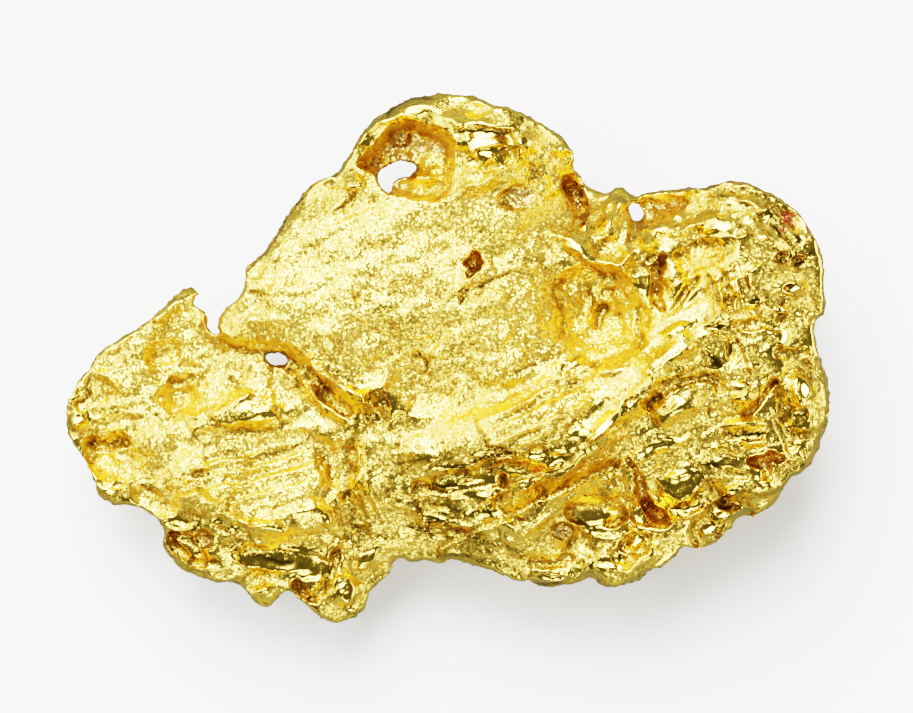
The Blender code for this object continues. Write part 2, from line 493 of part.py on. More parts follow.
def sculpt(points):
    """Turn the slab's points into the nugget's.

    A slab point has a distance in from the nearest edge and a level from -1, the under side, to +1, the
    upper side. Within the rim's radius of the edge those two are turned into an angle round the rim:
    -90 degrees is the under face, 0 the outline itself and 90 the upper face.
    """
    place = points[:, :2]
    level = np.clip(points[:, 2] / SLAB_HALF, -1, 1)
    way, distance, radius = rim_of(place)
    edge = 1 - np.clip(distance / radius, 0, 1)
    steep = np.abs(level) >= edge
    on_face = np.sign(level) * (90 - 45 * edge / np.maximum(np.abs(level), 1e-6))
    on_wall = 45 * level / np.maximum(edge, 1e-6)
    angle = np.radians(np.where(steep, on_face, on_wall))
    shift = np.minimum(distance, radius) - radius * (1 - np.cos(angle))
    place = place + way * shift[:, None]

    upper = through_levels(place, UPPER_LEVELS) + relief(place)
    feet = [(x, y, FOOT_DEPTH) for x, y in FEET]
    lower = through_levels(place, LOWER_LEVELS + feet)
    ends = np.column_stack([place, 2.0 * np.sign(level)])
    swell = LUMP_HEIGHT * cell_noise(ends, LUMP_SIZE, 3) + GRIT_HEIGHT * cell_noise(ends, GRIT_SIZE, 5)
    upper += swell
    lower += 2.5 * swell
    upper = np.maximum(upper, lower + THINNEST)
    middle = lower + RIM_LEVEL * (upper - lower)
    rise = np.sin(angle)
    height = np.where(rise > 0, middle + rise * (upper - middle), middle + rise * (middle - lower))
    return np.column_stack([place, height])


def rim_of(place):
    """The unit way outward to the nearest edge, its distance and the rim's radius there."""
    reach = np.full(len(place), np.inf)
    outward = np.zeros_like(place)
    radius = np.full(len(place), RIM_RADIUS)
    for loop, rim in [(OUTLINE, RIM_RADIUS)] + [(hole, HOLE_RADIUS) for hole in HOLES]:
        loop = smooth_loop(loop)
        way, distance, side, _ = nearest_on(place, loop, closed=True)
        if rim == RIM_RADIUS:
            outer = ~inside(place, loop)
        else:
            outer = inside(place, loop)
        unit = way / np.maximum(distance, 1e-6)[:, None]
        unit = np.where(outer[:, None], -unit, unit)
        signed = np.where(outer, 0.0, distance)
        closer = signed / rim < reach / radius
        reach = np.where(closer, signed, reach)
        outward = np.where(closer[:, None], unit, outward)
        radius = np.where(closer, rim, radius)
    return outward, reach, radius


def flatten_feet(points):
    """Wear the feet flat: what is under the surface, or within a hair of it, lies on it."""
    low = points[:, 2] < FOOT_BAND
    points[low, 2] = 0.0
    return points


def centre(points):
    """Put the middle of the box over the origin."""
    points[:, 0] -= 0.5 * (points[:, 0].min() + points[:, 0].max())
    points[:, 1] -= 0.5 * (points[:, 1].min() + points[:, 1].max())
    return points


def gold():
    """Native gold with a frosted finish."""
    material = bpy.data.materials.new("native_gold")
    material.use_nodes = True
    shader = material.node_tree.nodes["Principled BSDF"]
    shader.inputs["Base Color"].default_value = GOLD_COLOUR
    shader.inputs["Metallic"].default_value = 1.0
    shader.inputs["Roughness"].default_value = GOLD_ROUGHNESS
    material.diffuse_color = GOLD_COLOUR
    return material


def build():
    """The nugget, alone in its collection."""
    cage = slab_cage()
    write_points(cage, sculpt(read_points(cage)))
    skin = remeshed(cage, SKIN_VOXEL)
    write_points(skin, flatten_feet(read_points(skin)))
    mesh = decimated(skin, TRIANGLES)
    write_points(mesh, centre(flatten_feet(read_points(mesh))) * MM)
    mesh.name = NODE
    mesh.materials.clear()
    mesh.materials.append(gold())
    nugget = bpy.data.objects.new(NODE, mesh)
    collection = bpy.data.collections.new("gold nugget")
    bpy.context.scene.collection.children.link(collection)
    collection.objects.link(nugget)
    return nugget


for leftover in list(bpy.data.objects):
    bpy.data.objects.remove(leftover, do_unlink=True)
build()
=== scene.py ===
"""A gold nugget on a pale table, in soft studio light.

The tables are in millimetres: +X along the nugget, +Y across it, heights up from the table. The skin is
a grid over the nugget's outline with an upper and a lower height at each node, worked out as arrays.
"""
import math

import bpy
import numpy as np
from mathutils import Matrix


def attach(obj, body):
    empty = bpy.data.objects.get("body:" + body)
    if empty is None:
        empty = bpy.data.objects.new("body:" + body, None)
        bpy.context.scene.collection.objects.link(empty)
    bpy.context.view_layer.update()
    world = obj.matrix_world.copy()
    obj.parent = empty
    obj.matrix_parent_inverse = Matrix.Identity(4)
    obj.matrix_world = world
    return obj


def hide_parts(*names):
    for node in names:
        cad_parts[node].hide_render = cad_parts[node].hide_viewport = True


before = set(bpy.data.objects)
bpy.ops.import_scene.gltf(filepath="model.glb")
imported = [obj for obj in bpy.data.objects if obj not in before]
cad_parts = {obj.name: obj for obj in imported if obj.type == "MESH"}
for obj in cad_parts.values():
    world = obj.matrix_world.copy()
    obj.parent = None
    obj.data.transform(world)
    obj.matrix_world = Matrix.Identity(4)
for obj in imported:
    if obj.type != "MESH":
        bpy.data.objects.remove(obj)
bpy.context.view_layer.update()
MM = 0.001
NODE = "gold_nugget"

# how the skin is meshed, and the share of its hidden side's faces that is kept
GRID_STEP = 0.05
HIDDEN_KEEP = 0.57

# how its rims turn over
RIM_RADIUS = 0.09
ROLLED_RADIUS = 0.24
UNDER_RADIUS = 0.6
FLANK_BULGE = 0.015
ROLLED_BULGE = 4
BULGE_REACH = 0.35
FLANK_ROWS = 12
THINNEST = 0.55
TUCK_SHARE = 0.45
TUCK_LIMIT = 1.3

# how strongly each kind of form is carved
LEDGE_SHARE = 0.7
STEP_SPREAD = 2.6
RIDGE_SHARE = 0.75
CREASE_SHARE = 0.7
PIT_SHARE = 0.6
LUMP_SHARE = 0.95

# how far the flanks and under side are pushed in and roughened, and how much finer grain is everywhere
FLANK_PUSH = -0.13
FLANK_LUMPS = 0.07
FLANK_FOLDS = 0.05
FLANK_FINE_FOLDS = 0.02
FINE_GRAIN = 0.012

# how burnished the skin is: the share everywhere, and what each cause adds or takes away
POLISH = 0.42
POLISH_UNEVEN = 0.35
POLISH_FLANK = -0.15
POLISH_FROSTED = -0.7
POLISH_LEVEL = 0.6
POLISH_TIPPED = 0.85
POLISH_BRIGHT = 0.45
POLISH_PROUD = 7.0

# the dust in the hollows, and the painted shade: a dark coat laid in the creases, at the foot of every ledge
# and where the skin lies below its neighbours
DUST_ABOVE = 1.2
STAIN_ABOVE = 1.5
CREASE_SHADE = 0.85
LOW_PLACE_SHADE = 0.6
LEDGE_FOOT_SHADE = 0.8
NARROWEST_SHADE = 0.055

# the gold: colours, its tint at a glance, and the sizes of its grains in cells a millimetre
GLANCING_TINT = (1.0, 0.9, 0.7, 1)
FROSTED_GOLD = (0.82, 0.50, 0.09, 1)
BURNISHED_GOLD = (0.85, 0.52, 0.09, 1)
DUST_COLOUR = (0.50, 0.32, 0.095, 1)
# painted shade: a near-black colour laid where shade falls in creases and low places
CREASE_SHADE_COLOUR = (0.04, 0.03, 0.008, 1)
STAIN_COLOUR = (0.50, 0.09, 0.06, 1)
SMALL_GRAINS = 21.0
SMALL_LEAN = 0.7
LARGE_GRAINS = 6.5
LARGE_LEAN = 0.08
WOBBLE_CELLS = 9.0
WOBBLE_HEIGHT = 0.006
PATCH_CELLS = 1.3
FROST_LOST = -0.9
ROUGHNESS = 0.08
PATCH_ROUGHNESS = 0.10
FROST_ROUGHNESS = 0.22

# The studio's soft panels: the way to the middle of each in degrees round from +X and down from
# overhead, its half width in degrees and its strength. Below the horizon the table glows, less so
# straight down, and the room between the panels is dim and a little green.
PANELS = [
    (105, 40, 19, 24.0), (170, 28, 11, 8.0), (280, 61, 14, 9.0), (160, 80, 25, 5.5), (0, 92, 23, 6.0),
    (100, 62, 15, 5.5),
]
GLOOM = 0.12
GLOOM_TINT = (0.88, 1.08, 0.9, 1)
WHITE = (1.0, 1.0, 1.0, 1)
TABLE_GLOW = 0.9
TABLE_SHADE = 0.3
TABLE_HALF = 0.4
TABLE_COLOUR = (0.90, 0.94, 0.95, 1)
TABLE_LIGHT = (0.97, 0.99, 1.0, 1)
TABLE_LIGHT_STRENGTH = 0.15

# The camera looks straight down: its distance and the height in focus in millimetres, the render's
# width in pixels, the pixels to a millimetre, and the render's middle from the tables' zero in pixels.
CAMERA_DISTANCE = 400.0
FOCUS_HEIGHT = 3.0
SENSOR_WIDTH = 36.0
PIXELS_ACROSS = 913
PIXELS_PER_MM = 40.0
MIDDLE_PIXELS = (9.5, 2.5)

# Crumpled tiles, coarse to fine: share of the height, size, seed, lean, bow, turn and stretch.
STRATA_TILES = [
    (0.75, 1.4, 101, 0.65, 0.3, 25, 1.6), (0.34, 0.6, 103, 0.7, 0.3, 30, 1.8),
    (0.06, 0.27, 105, 0.6, 0.3, 30, 1.5),
]
QUIET_TILES = [
    (0.5, 1.1, 111, 0.35, 0.3, 0, 1), (0.5, 0.5, 113, 0.6, 0.35, 20, 1.3),
    (0.25, 0.24, 109, 0.5, 0.3, 0, 1),
]
SHINGLE_TIP = (0.08, -0.35)

# Where the rim is broad, smooth and rolled over: centre x and y, half length, half width, turn.
ROLLED_RIMS = [
    (9.4, -1.6, 1.5, 0.5, 80), (7.0, -3.85, 0.6, 0.4, 20), (6.5, -4.3, 0.5, 0.35, 40),
    (4.0, -5.25, 0.8, 0.4, 10),
    (-6.6, -5.1, 0.6, 0.35, -30), (-9.3, -1.5, 0.3, 0.4, 0), (-1.2, 6.4, 0.9, 0.3, 10),
    (2.6, -5.7, 0.6, 0.25, 0),
]

# The outline, clockwise from the tip of the left arm, in eight runs.
ARM_TOP = [
    (-6.16, 1.62), (-6.35, 1.78), (-6.55, 1.79), (-6.7, 1.72), (-7.0, 1.5), (-7.3, 1.22), (-7.62, 0.93),
    (-7.95, 0.7), (-8.25, 0.55), (-8.55, 0.3), (-8.85, 0.05), (-9.08, -0.25), (-9.32, -0.6), (-9.5, -1.0),
    (-9.6, -1.45), (-9.58, -1.8), (-9.45, -2.1), (-9.25, -2.42), (-9.05, -2.7), (-8.95, -3.0), (-8.8, -3.3),
    (-8.55, -3.55),
]
LOWER_LEFT_BLOCK = [
    (-8.28, -3.7), (-8.0, -3.66), (-7.7, -3.76), (-7.4, -3.93), (-7.2, -4.15), (-7.12, -4.42),
    (-7.16, -4.72), (-6.95, -5.02), (-6.6, -5.3), (-6.2, -5.5), (-5.8, -5.65), (-5.5, -5.64),
    (-5.25, -5.66),
    (-5.05, -5.92), (-4.85, -6.17), (-4.6, -6.25), (-4.35, -6.15), (-4.12, -5.95), (-3.95, -5.84),
    (-3.8, -5.95), (-3.55, -6.2), (-3.3, -6.42), (-3.0, -6.6), (-2.75, -6.68), (-2.5, -6.6), (-2.22, -6.5),
    (-2.02, -6.28), (-1.94, -5.98), (-1.75, -5.7), (-1.46, -5.45), (-1.33, -5.15), (-1.15, -5.02),
]
BOTTOM_LAYERS = [
    (-0.9, -5.15), (-0.6, -5.06), (-0.2, -5.1), (0.1, -5.0), (0.4, -5.12), (0.8, -5.25), (1.2, -5.36),
    (1.5, -5.5), (1.8, -5.6), (2.02, -5.58), (2.25, -5.72), (2.65, -5.78), (3.05, -5.7), (3.38, -5.6),
    (3.55, -5.48), (3.7, -5.58), (3.88, -5.72), (4.15, -5.75), (4.5, -5.66), (4.88, -5.56), (5.08, -5.36),
    (5.4, -5.25), (5.7, -5.0), (5.95, -4.76),
]
LOWER_RIGHT = [
    (6.3, -4.79), (6.7, -4.62), (7.0, -4.36), (7.28, -4.06), (7.46, -3.92), (7.7, -3.96), (8.0, -3.8),
    (8.3, -3.5), (8.5, -3.2), (8.64, -2.98), (8.9, -2.86), (9.15, -2.6), (9.35, -2.2), (9.5, -1.8),
    (9.6, -1.3), (9.6, -0.85), (9.5, -0.4), (9.38, 0.0), (9.26, 0.35), (9.2, 0.72),
]
RIGHT_LOBE = [
    (9.26, 0.95), (9.42, 1.12), (9.46, 1.5), (9.46, 2.0), (9.4, 2.5), (9.25, 3.0), (9.02, 3.4),
    (8.7, 3.76), (8.35, 4.0), (8.0, 4.2), (7.6, 4.38), (7.05, 4.48), (6.72, 4.44), (6.42, 4.32),
    (6.1, 4.33), (5.8, 4.28), (5.2, 4.22),
]
TOP_NOTCH = [
    (4.95, 4.18), (4.75, 4.1), (4.6, 4.16), (4.42, 4.28), (4.2, 4.3), (3.98, 4.2), (3.7, 4.26),
    (3.5, 4.36), (3.36, 4.56), (3.2, 4.82), (3.22, 5.1), (3.1, 5.32),
]
ARCH_RIM = [
    (2.88, 5.56), (2.5, 5.85), (2.1, 6.06), (1.6, 6.28), (1.1, 6.45), (0.5, 6.6), (0.0, 6.66),
    (-0.4, 6.67), (-0.8, 6.6), (-1.2, 6.44), (-1.6, 6.2), (-1.92, 5.93), (-2.2, 5.6), (-2.44, 5.2),
    (-2.6, 4.93), (-2.78, 4.7), (-3.1, 4.58), (-3.4, 4.45),
]
FLAP_EDGE = [
    (-3.62, 4.2), (-3.82, 3.95), (-4.05, 3.65), (-4.25, 3.3), (-4.4, 3.0), (-4.56, 2.75), (-4.85, 2.5),
    (-5.05, 2.25), (-5.1, 2.0), (-5.16, 1.75), (-5.32, 1.5), (-5.58, 1.3), (-5.74, 1.05), (-5.76, 0.85),
    (-5.72, 0.66), (-5.84, 0.68), (-5.97, 0.82), (-5.96, 1.05), (-6.06, 1.25), (-6.3, 1.42),
]
OUTLINE = (
    ARM_TOP + LOWER_LEFT_BLOCK + BOTTOM_LAYERS + LOWER_RIGHT + RIGHT_LOBE + TOP_NOTCH + ARCH_RIM + FLAP_EDGE
)

# The gaps that go right through.
ARCH_HOLE = [
    (-1.72, 4.6), (-1.5, 4.78), (-1.15, 4.9), (-0.82, 4.8), (-0.95, 4.62), (-1.2, 4.55), (-1.4, 4.42),
    (-1.42, 4.2), (-1.58, 4.28),
]
ARM_GAP = [(-4.5, 0.04), (-4.3, 0.1), (-4.1, 0.07), (-4.02, -0.03), (-4.12, -0.12), (-4.35, -0.08)]
LOBE_EYE = [(4.6, 3.82), (4.73, 3.86), (4.86, 3.64), (4.74, 3.52), (4.63, 3.62)]
HOLES = [ARCH_HOLE, ARM_GAP, LOBE_EYE]

# Heights of the upper face at places across it: x, y, height.
LEFT_ARM_LEVELS = [
    (-9.3, -1.5, 2.4), (-8.8, -0.5, 2.6), (-8.0, 0.2, 2.8), (-7.1, 1.0, 2.8), (-6.4, 1.4, 2.6),
    (-8.0, -1.0, 2.8), (-7.0, 0.0, 2.7), (-6.1, 0.3, 2.75), (-6.8, -0.9, 2.8), (-5.0, -0.8, 3.15),
    (-8.4, -2.5, 2.3), (-8.4, -3.2, 2.1), (-7.3, -2.5, 3.0), (-6.0, -2.5, 3.2), (-4.5, -2.6, 3.2),
    (-3.6, -2.4, 3.2),
]
BLOCK_LEVELS = [
    (-6.5, -3.6, 3.3), (-5.0, -3.8, 3.5), (-3.6, -3.7, 3.5), (-3.2, -4.3, 3.3), (-7.5, -3.6, 2.4),
    (-6.3, -4.7, 2.7), (-4.8, -5.0, 2.8), (-3.5, -5.3, 2.6), (-4.7, -5.9, 2.3), (-2.6, -5.7, 2.4),
    (-1.9, -5.2, 2.2), (-2.4, -4.9, 2.6),
]
PLATE_LEVELS = [
    (-5.3, 1.1, 3.5), (-4.8, 1.9, 3.6), (-4.2, 2.6, 3.6), (-3.5, 3.7, 3.6), (-3.0, 2.5, 4.0),
    (-3.0, 1.2, 4.1), (-2.0, 3.5, 4.1), (-1.0, 2.5, 4.3), (-1.0, 1.0, 4.3), (-2.2, 0.2, 4.0),
    (-1.2, -0.8, 3.8), (0.0, -1.0, 3.9), (0.0, 0.5, 4.3), (1.5, 1.2, 4.6), (1.2, -0.3, 4.3),
    (0.8, -1.8, 4.3), (-0.5, -2.2, 3.9), (2.2, -1.6, 4.7), (-1.8, -2.6, 3.3), (-1.2, -3.3, 3.1),
    (1.0, 2.8, 4.3), (0.5, 3.7, 4.3), (2.0, 3.5, 4.3), (2.8, 2.6, 4.0),
]
ARCH_LEVELS = [
    (-2.2, 5.2, 3.6), (-1.4, 6.0, 3.8), (0.0, 6.2, 3.9), (0.8, 5.4, 4.3), (1.3, 4.6, 4.4),
    (2.0, 5.4, 4.0), (2.8, 5.1, 3.5), (3.1, 4.2, 3.1), (4.1, 3.7, 3.4), (5.2, 3.8, 3.1),
]
RIGHT_LEVELS = [
    (3.4, 1.4, 3.8), (3.5, 0.4, 3.9), (4.2, 0.8, 3.8), (5.3, 2.9, 4.0), (6.0, 2.0, 4.2), (6.8, 3.4, 4.6),
    (7.5, 2.5, 4.9), (8.5, 2.0, 4.5), (9.1, 1.6, 4.2), (8.6, 3.2, 4.2), (7.3, 4.0, 4.3), (7.0, 1.6, 4.8),
    (6.5, 0.3, 4.9), (5.0, -0.3, 5.0), (8.0, 0.5, 4.7), (7.5, -0.3, 4.6), (9.0, 0.5, 4.1),
    (8.8, -1.0, 4.3), (9.3, -1.6, 3.9), (8.7, -2.3, 3.9), (6.0, -1.2, 4.8), (4.0, -1.6, 5.0),
    (3.3, -2.6, 4.7), (5.8, -2.4, 4.4), (7.2, -2.3, 4.0),
]
FRONT_LEVELS = [
    (7.6, -3.2, 3.6), (6.2, -3.5, 3.6), (4.0, -3.1, 4.2), (3.7, -3.9, 3.1), (4.6, -4.3, 3.0),
    (2.0, -3.4, 3.8), (0.4, -3.4, 3.5), (1.0, -4.6, 2.9), (0.0, -4.6, 2.6), (2.5, -5.0, 2.8),
    (4.0, -5.1, 2.7), (5.5, -4.8, 2.7), (6.7, -4.2, 3.1), (8.0, -3.4, 3.3),
]
UPPER_LEVELS = LEFT_ARM_LEVELS + BLOCK_LEVELS + PLATE_LEVELS + ARCH_LEVELS + RIGHT_LEVELS + FRONT_LEVELS

# Heights of the under face; the feet reach below the table's top and are worn off flat there.
FEET = [(-6.2, -2.4), (0.9, 4.2), (7.2, 0.0), (2.8, -3.4)]
FOOT_DEPTH = -0.3
FOOT_BAND = 0.05
LOWER_LEVELS = [
    (-9.0, -1.5, 1.3), (-7.6, 0.5, 1.3), (-6.2, 1.2, 1.5), (-8.2, -3.2, 1.2), (-4.6, -4.4, 1.1),
    (-4.0, -5.8, 0.8), (-2.5, -6.0, 0.9), (-4.2, -0.4, 1.2), (-3.0, 2.6, 1.4), (-4.8, 1.8, 1.9),
    (-2.0, 5.4, 1.6), (0.0, 6.1, 1.7), (2.6, 5.4, 1.5), (-1.0, 0.5, 0.9), (-1.2, -2.2, 1.0),
    (-0.5, -4.6, 1.0), (1.8, 1.0, 0.7), (4.4, 3.6, 1.5), (4.6, 0.4, 0.7), (6.8, 3.6, 1.4),
    (8.9, 2.2, 1.5), (9.0, -1.5, 1.3), (6.8, -3.7, 1.1), (4.4, -5.2, 0.9), (2.4, -5.4, 0.9),
    (4.8, -1.8, 0.7),
]

# Ledges: the points of the edge, the rise from its right side to its left, how far back that fades, and
# the width of the step itself.
MAIN_LEDGES = [
    # the plate's shoulder over the left arm, from the flap down to the rolled finger
    ([(-5.75, 0.95), (-5.5, 0.5), (-5.0, 0.28), (-4.4, 0.25), (-3.8, 0.1), (-3.3, -0.5), (-2.6, -1.2),
      (-2.1, -1.6)], 0.7, 1.3, 0.07),
    # the scarp of the arm's upper plate over the striated lower one
    ([(-3.45, -1.25), (-3.9, -1.65), (-4.3, -1.8), (-5.0, -1.92), (-5.65, -1.7), (-6.05, -1.4),
      (-6.15, -0.65)], -0.24, 0.8, 0.3),
    # the striated plate's right scarp, down to the trough
    ([(-3.25, -2.1), (-3.2, -2.5), (-3.0, -2.9), (-3.05, -3.25), (-3.25, -3.4), (-3.0, -3.7), (-2.75, -4.0),
      (-2.7, -4.7)], -0.45, 0.8, 0.06),
    # the step from the plate's lower left over the trough
    ([(-2.2, -1.7), (-2.2, -2.5), (-2.1, -3.3), (-1.75, -4.2)], 0.35, 0.7, 0.08),
    # the front scarp of the plate
    ([(-1.5, -3.3), (-0.6, -2.87), (-0.3, -2.95), (0.3, -2.85), (0.8, -2.6), (1.6, -2.45), (2.3, -2.5),
      (3.0, -2.9)], 0.55, 0.8, 0.15),
    # the long pale ledge in front of it
    ([(-1.4, -3.9), (-0.9, -3.95), (-0.3, -4.15), (0.3, -4.22), (0.9, -4.3), (1.3, -4.43), (1.7, -4.53),
      (2.0, -4.42), (2.5, -4.02), (2.8, -3.92), (3.1, -4.12), (3.5, -4.38), (3.9, -4.52), (4.5, -4.5)],
     0.5, 0.7, 0.15),
    # the fronts of the lower left block
    ([(-7.0, -4.0), (-6.5, -3.95), (-6.0, -3.98), (-5.3, -4.4), (-4.2, -4.7), (-3.3, -4.9)], 0.6, 0.8, 0.2),
    # the basin's left wall, from the raised lobe down
    ([(2.9, 0.2), (2.65, 0.5), (2.6, 0.9), (2.5, 1.2), (2.32, 1.6), (2.4, 1.95), (2.1, 2.15), (1.7, 2.2),
      (1.4, 2.1)], 0.4, 0.8, 0.15),
    # the ledge right of the plate's middle
    ([(0.7, -0.98), (1.4, -0.85), (2.0, -0.6), (2.6, -0.4), (3.4, -0.3)], 0.25, 0.8, 0.1),
    # the right body's long step
    ([(6.4, 0.9), (7.0, 0.95), (7.8, 1.1), (8.6, 0.8)], 0.4, 0.8, 0.1),
    # the upper lobe's plate over the orange pockets
    ([(5.5, 2.95), (6.2, 3.05), (6.9, 3.0), (7.3, 2.6)], 0.45, 0.7, 0.12),
]
FINE_LEDGES = [
    # the plate's rim over its blurred flank, upper left
    ([(-5.0, 1.9), (-4.6, 2.4), (-4.4, 2.8), (-4.1, 3.3), (-3.9, 3.7), (-3.6, 4.1)], -0.3, 0.5, 0.08),
    ([(-2.95, 4.3), (-2.6, 4.45), (-2.2, 4.5), (-1.7, 4.3)], -0.3, 0.4, 0.08),
    # the raised lobe's lower left edge
    ([(0.1, 1.0), (0.6, 1.35), (0.9, 1.5), (1.0, 1.75), (1.2, 2.0)], -0.15, 0.6, 0.08),
    # strata of the plate's lower right, running up to the right
    ([(0.9, -2.4), (1.4, -2.15), (1.9, -1.8), (2.5, -1.6)], 0.12, 0.3, 0.06),
    ([(1.7, -2.3), (2.3, -2.0), (2.9, -1.75)], 0.12, 0.3, 0.06),
    ([(0.8, -1.6), (1.4, -1.4), (2.0, -1.1), (2.5, -0.8)], 0.1, 0.3, 0.06),
    ([(2.4, -1.7), (3.0, -1.45), (3.6, -1.2), (4.1, -0.9)], 0.12, 0.3, 0.06),
    ([(1.2, -0.4), (1.9, -0.15), (2.6, 0.1)], 0.08, 0.3, 0.06),
    # small ledges low on the plate's left
    ([(-1.75, -3.2), (-1.55, -3.1), (-1.3, -3.5)], 0.15, 0.3, 0.06),
    ([(-1.5, -2.6), (-0.9, -2.45), (-0.3, -2.5)], 0.12, 0.3, 0.06),
    # layers of the front
    ([(-1.2, -3.5), (-0.7, -3.45), (0.0, -3.6), (0.5, -3.75)], 0.15, 0.3, 0.08),
    ([(-0.9, -4.7), (-0.2, -4.75), (0.6, -4.8), (1.4, -5.0), (2.1, -5.15)], 0.2, 0.4, 0.1),
    ([(2.6, -5.05), (3.2, -5.2), (3.7, -4.95), (4.2, -5.1)], 0.18, 0.35, 0.08),
    ([(3.2, -3.35), (3.7, -3.2), (4.2, -3.35)], 0.2, 0.35, 0.1),
    # strata on the upper lobe
    ([(6.2, 3.62), (6.6, 3.78), (7.0, 3.78), (7.35, 3.6), (7.6, 3.3)], 0.22, 0.35, 0.07),
    ([(6.35, 4.0), (6.7, 4.18), (7.2, 4.15), (7.7, 4.0), (8.0, 3.75), (8.1, 3.4)], -0.25, 0.35, 0.07),
    ([(7.5, 3.0), (8.0, 2.9), (8.5, 2.7), (9.0, 2.75)], 0.18, 0.35, 0.07),
    ([(7.3, 2.3), (7.9, 2.35), (8.5, 2.3), (9.1, 2.35)], -0.15, 0.3, 0.06),
    ([(7.4, 1.5), (7.9, 1.6), (8.3, 1.5), (8.8, 1.45)], 0.15, 0.3, 0.06),
    # block faces of the right body
    ([(5.0, -1.75), (5.6, -1.75), (6.2, -1.55), (6.7, -1.6)], 0.3, 0.4, 0.1),
    ([(5.3, -2.6), (5.9, -2.5), (6.5, -2.45), (7.0, -2.6)], 0.3, 0.4, 0.1),
    ([(7.0, -0.35), (7.4, -0.45), (7.8, -0.3)], 0.2, 0.3, 0.08),
    ([(6.3, -0.1), (6.8, 0.05), (7.2, 0.0)], 0.15, 0.3, 0.08),
    ([(3.6, -3.0), (3.9, -2.5), (4.3, -2.2), (4.8, -2.0)], 0.25, 0.4, 0.1),
]

# Ridges and rope-like folds: the points of the crest, its half width and its height.
MAIN_RIDGES = [
    # the arch's tube and the folds on its crown
    ([(-2.35, 5.0), (-2.2, 5.4), (-1.9, 5.8), (-1.3, 6.15), (-0.8, 6.3), (-0.3, 6.2), (0.2, 5.7),
    (0.4, 5.0)],
     0.45, 0.35),
    ([(-0.05, 5.95), (0.3, 5.98), (0.8, 5.9), (1.2, 5.85), (1.6, 5.88), (1.85, 5.7), (1.75, 5.4),
    (2.1, 5.1),
      (2.4, 5.15)], 0.3, 0.22),
    ([(0.3, 4.25), (0.8, 4.35), (1.4, 4.55)], 0.25, 0.35),
    ([(2.4, 5.3), (2.6, 4.6), (2.8, 4.0)], 0.22, 0.2),
    # the rope ridge beside the notch, with its knob, and the tongue below it
    ([(2.75, 3.15), (3.2, 2.95), (3.5, 2.6), (3.9, 2.4), (4.3, 2.35), (4.55, 2.6), (4.8, 2.8)], 0.36, 0.5),
    ([(4.2, 2.1), (4.5, 1.9), (4.7, 1.6), (4.9, 1.3), (5.1, 1.15)], 0.27, 0.35),
    ([(4.9, 3.1), (5.1, 3.25), (5.45, 3.3), (5.65, 3.2), (5.8, 3.15), (6.1, 3.35), (6.4, 3.5), (6.9, 3.6)],
     0.22, 0.3),
    ([(4.35, 4.1), (4.2, 3.8), (4.05, 3.5), (4.0, 2.9)], 0.32, 0.35),
    # the bands of the upper lobe
    ([(6.4, 3.95), (7.2, 4.05), (7.9, 3.75), (8.2, 3.3)], 0.25, 0.25),
    ([(6.6, 2.1), (6.75, 1.6), (6.9, 1.1)], 0.16, 0.16),
    ([(7.0, 2.15), (7.15, 1.8), (7.3, 1.4)], 0.18, 0.2),
    # the diagonal blade and its second fold
    ([(3.3, -2.2), (3.9, -1.8), (4.3, -1.4), (4.6, -1.2), (4.8, -0.95), (5.05, -0.75), (5.2, -0.3),
      (5.5, 0.0), (6.0, 0.35), (6.15, 0.75)], 0.34, 0.45),
    ([(4.7, -0.4), (5.2, 0.15), (5.7, 0.5), (6.1, 0.75)], 0.2, 0.2),
    # folds of the right body
    ([(7.3, -2.05), (7.6, -2.1), (8.0, -2.05)], 0.2, 0.25),
    ([(4.4, -2.4), (4.6, -2.75), (4.62, -3.1), (4.6, -3.6)], 0.25, 0.3),
    ([(2.5, -3.15), (3.0, -2.87), (3.3, -2.5), (3.6, -2.2)], 0.18, 0.25),
    ([(5.2, -4.5), (5.1, -4.9), (4.7, -5.2), (4.3, -5.45)], 0.25, 0.3),
    ([(5.4, -3.8), (6.0, -3.88), (6.6, -3.55)], 0.2, 0.25),
    # the rolled finger and the strip beside it
    ([(-3.75, 0.05), (-3.2, -0.33), (-2.7, -0.6), (-2.3, -0.82), (-2.0, -1.1), (-1.85, -1.5)], 0.33, 0.5),
    ([(-3.9, -0.2), (-3.6, -0.65), (-3.3, -1.0), (-2.9, -1.3), (-2.3, -1.65)], 0.2, 0.25),
    # the left arm's folds and the rolled lip of the block
    ([(-8.95, -0.4), (-8.5, -0.4), (-8.25, -0.7), (-8.1, -1.0)], 0.2, 0.2),
    ([(-6.2, 1.45), (-6.5, 1.45), (-6.8, 1.4), (-7.4, 0.8)], 0.25, 0.2),
    ([(-7.0, -3.5), (-6.5, -3.45), (-6.0, -3.55), (-5.7, -3.85), (-5.2, -4.1), (-4.6, -4.25),
    (-3.6, -4.35)],
     0.28, 0.3),
    ([(-8.9, -2.65), (-8.75, -3.1), (-8.5, -3.4), (-8.2, -3.5)], 0.24, 0.3),
    ([(-1.5, -3.6), (-1.1, -3.68), (-0.6, -3.88), (-0.2, -3.98), (0.1, -4.07), (0.6, -4.17), (1.3, -4.35)],
     0.18, 0.2),
]
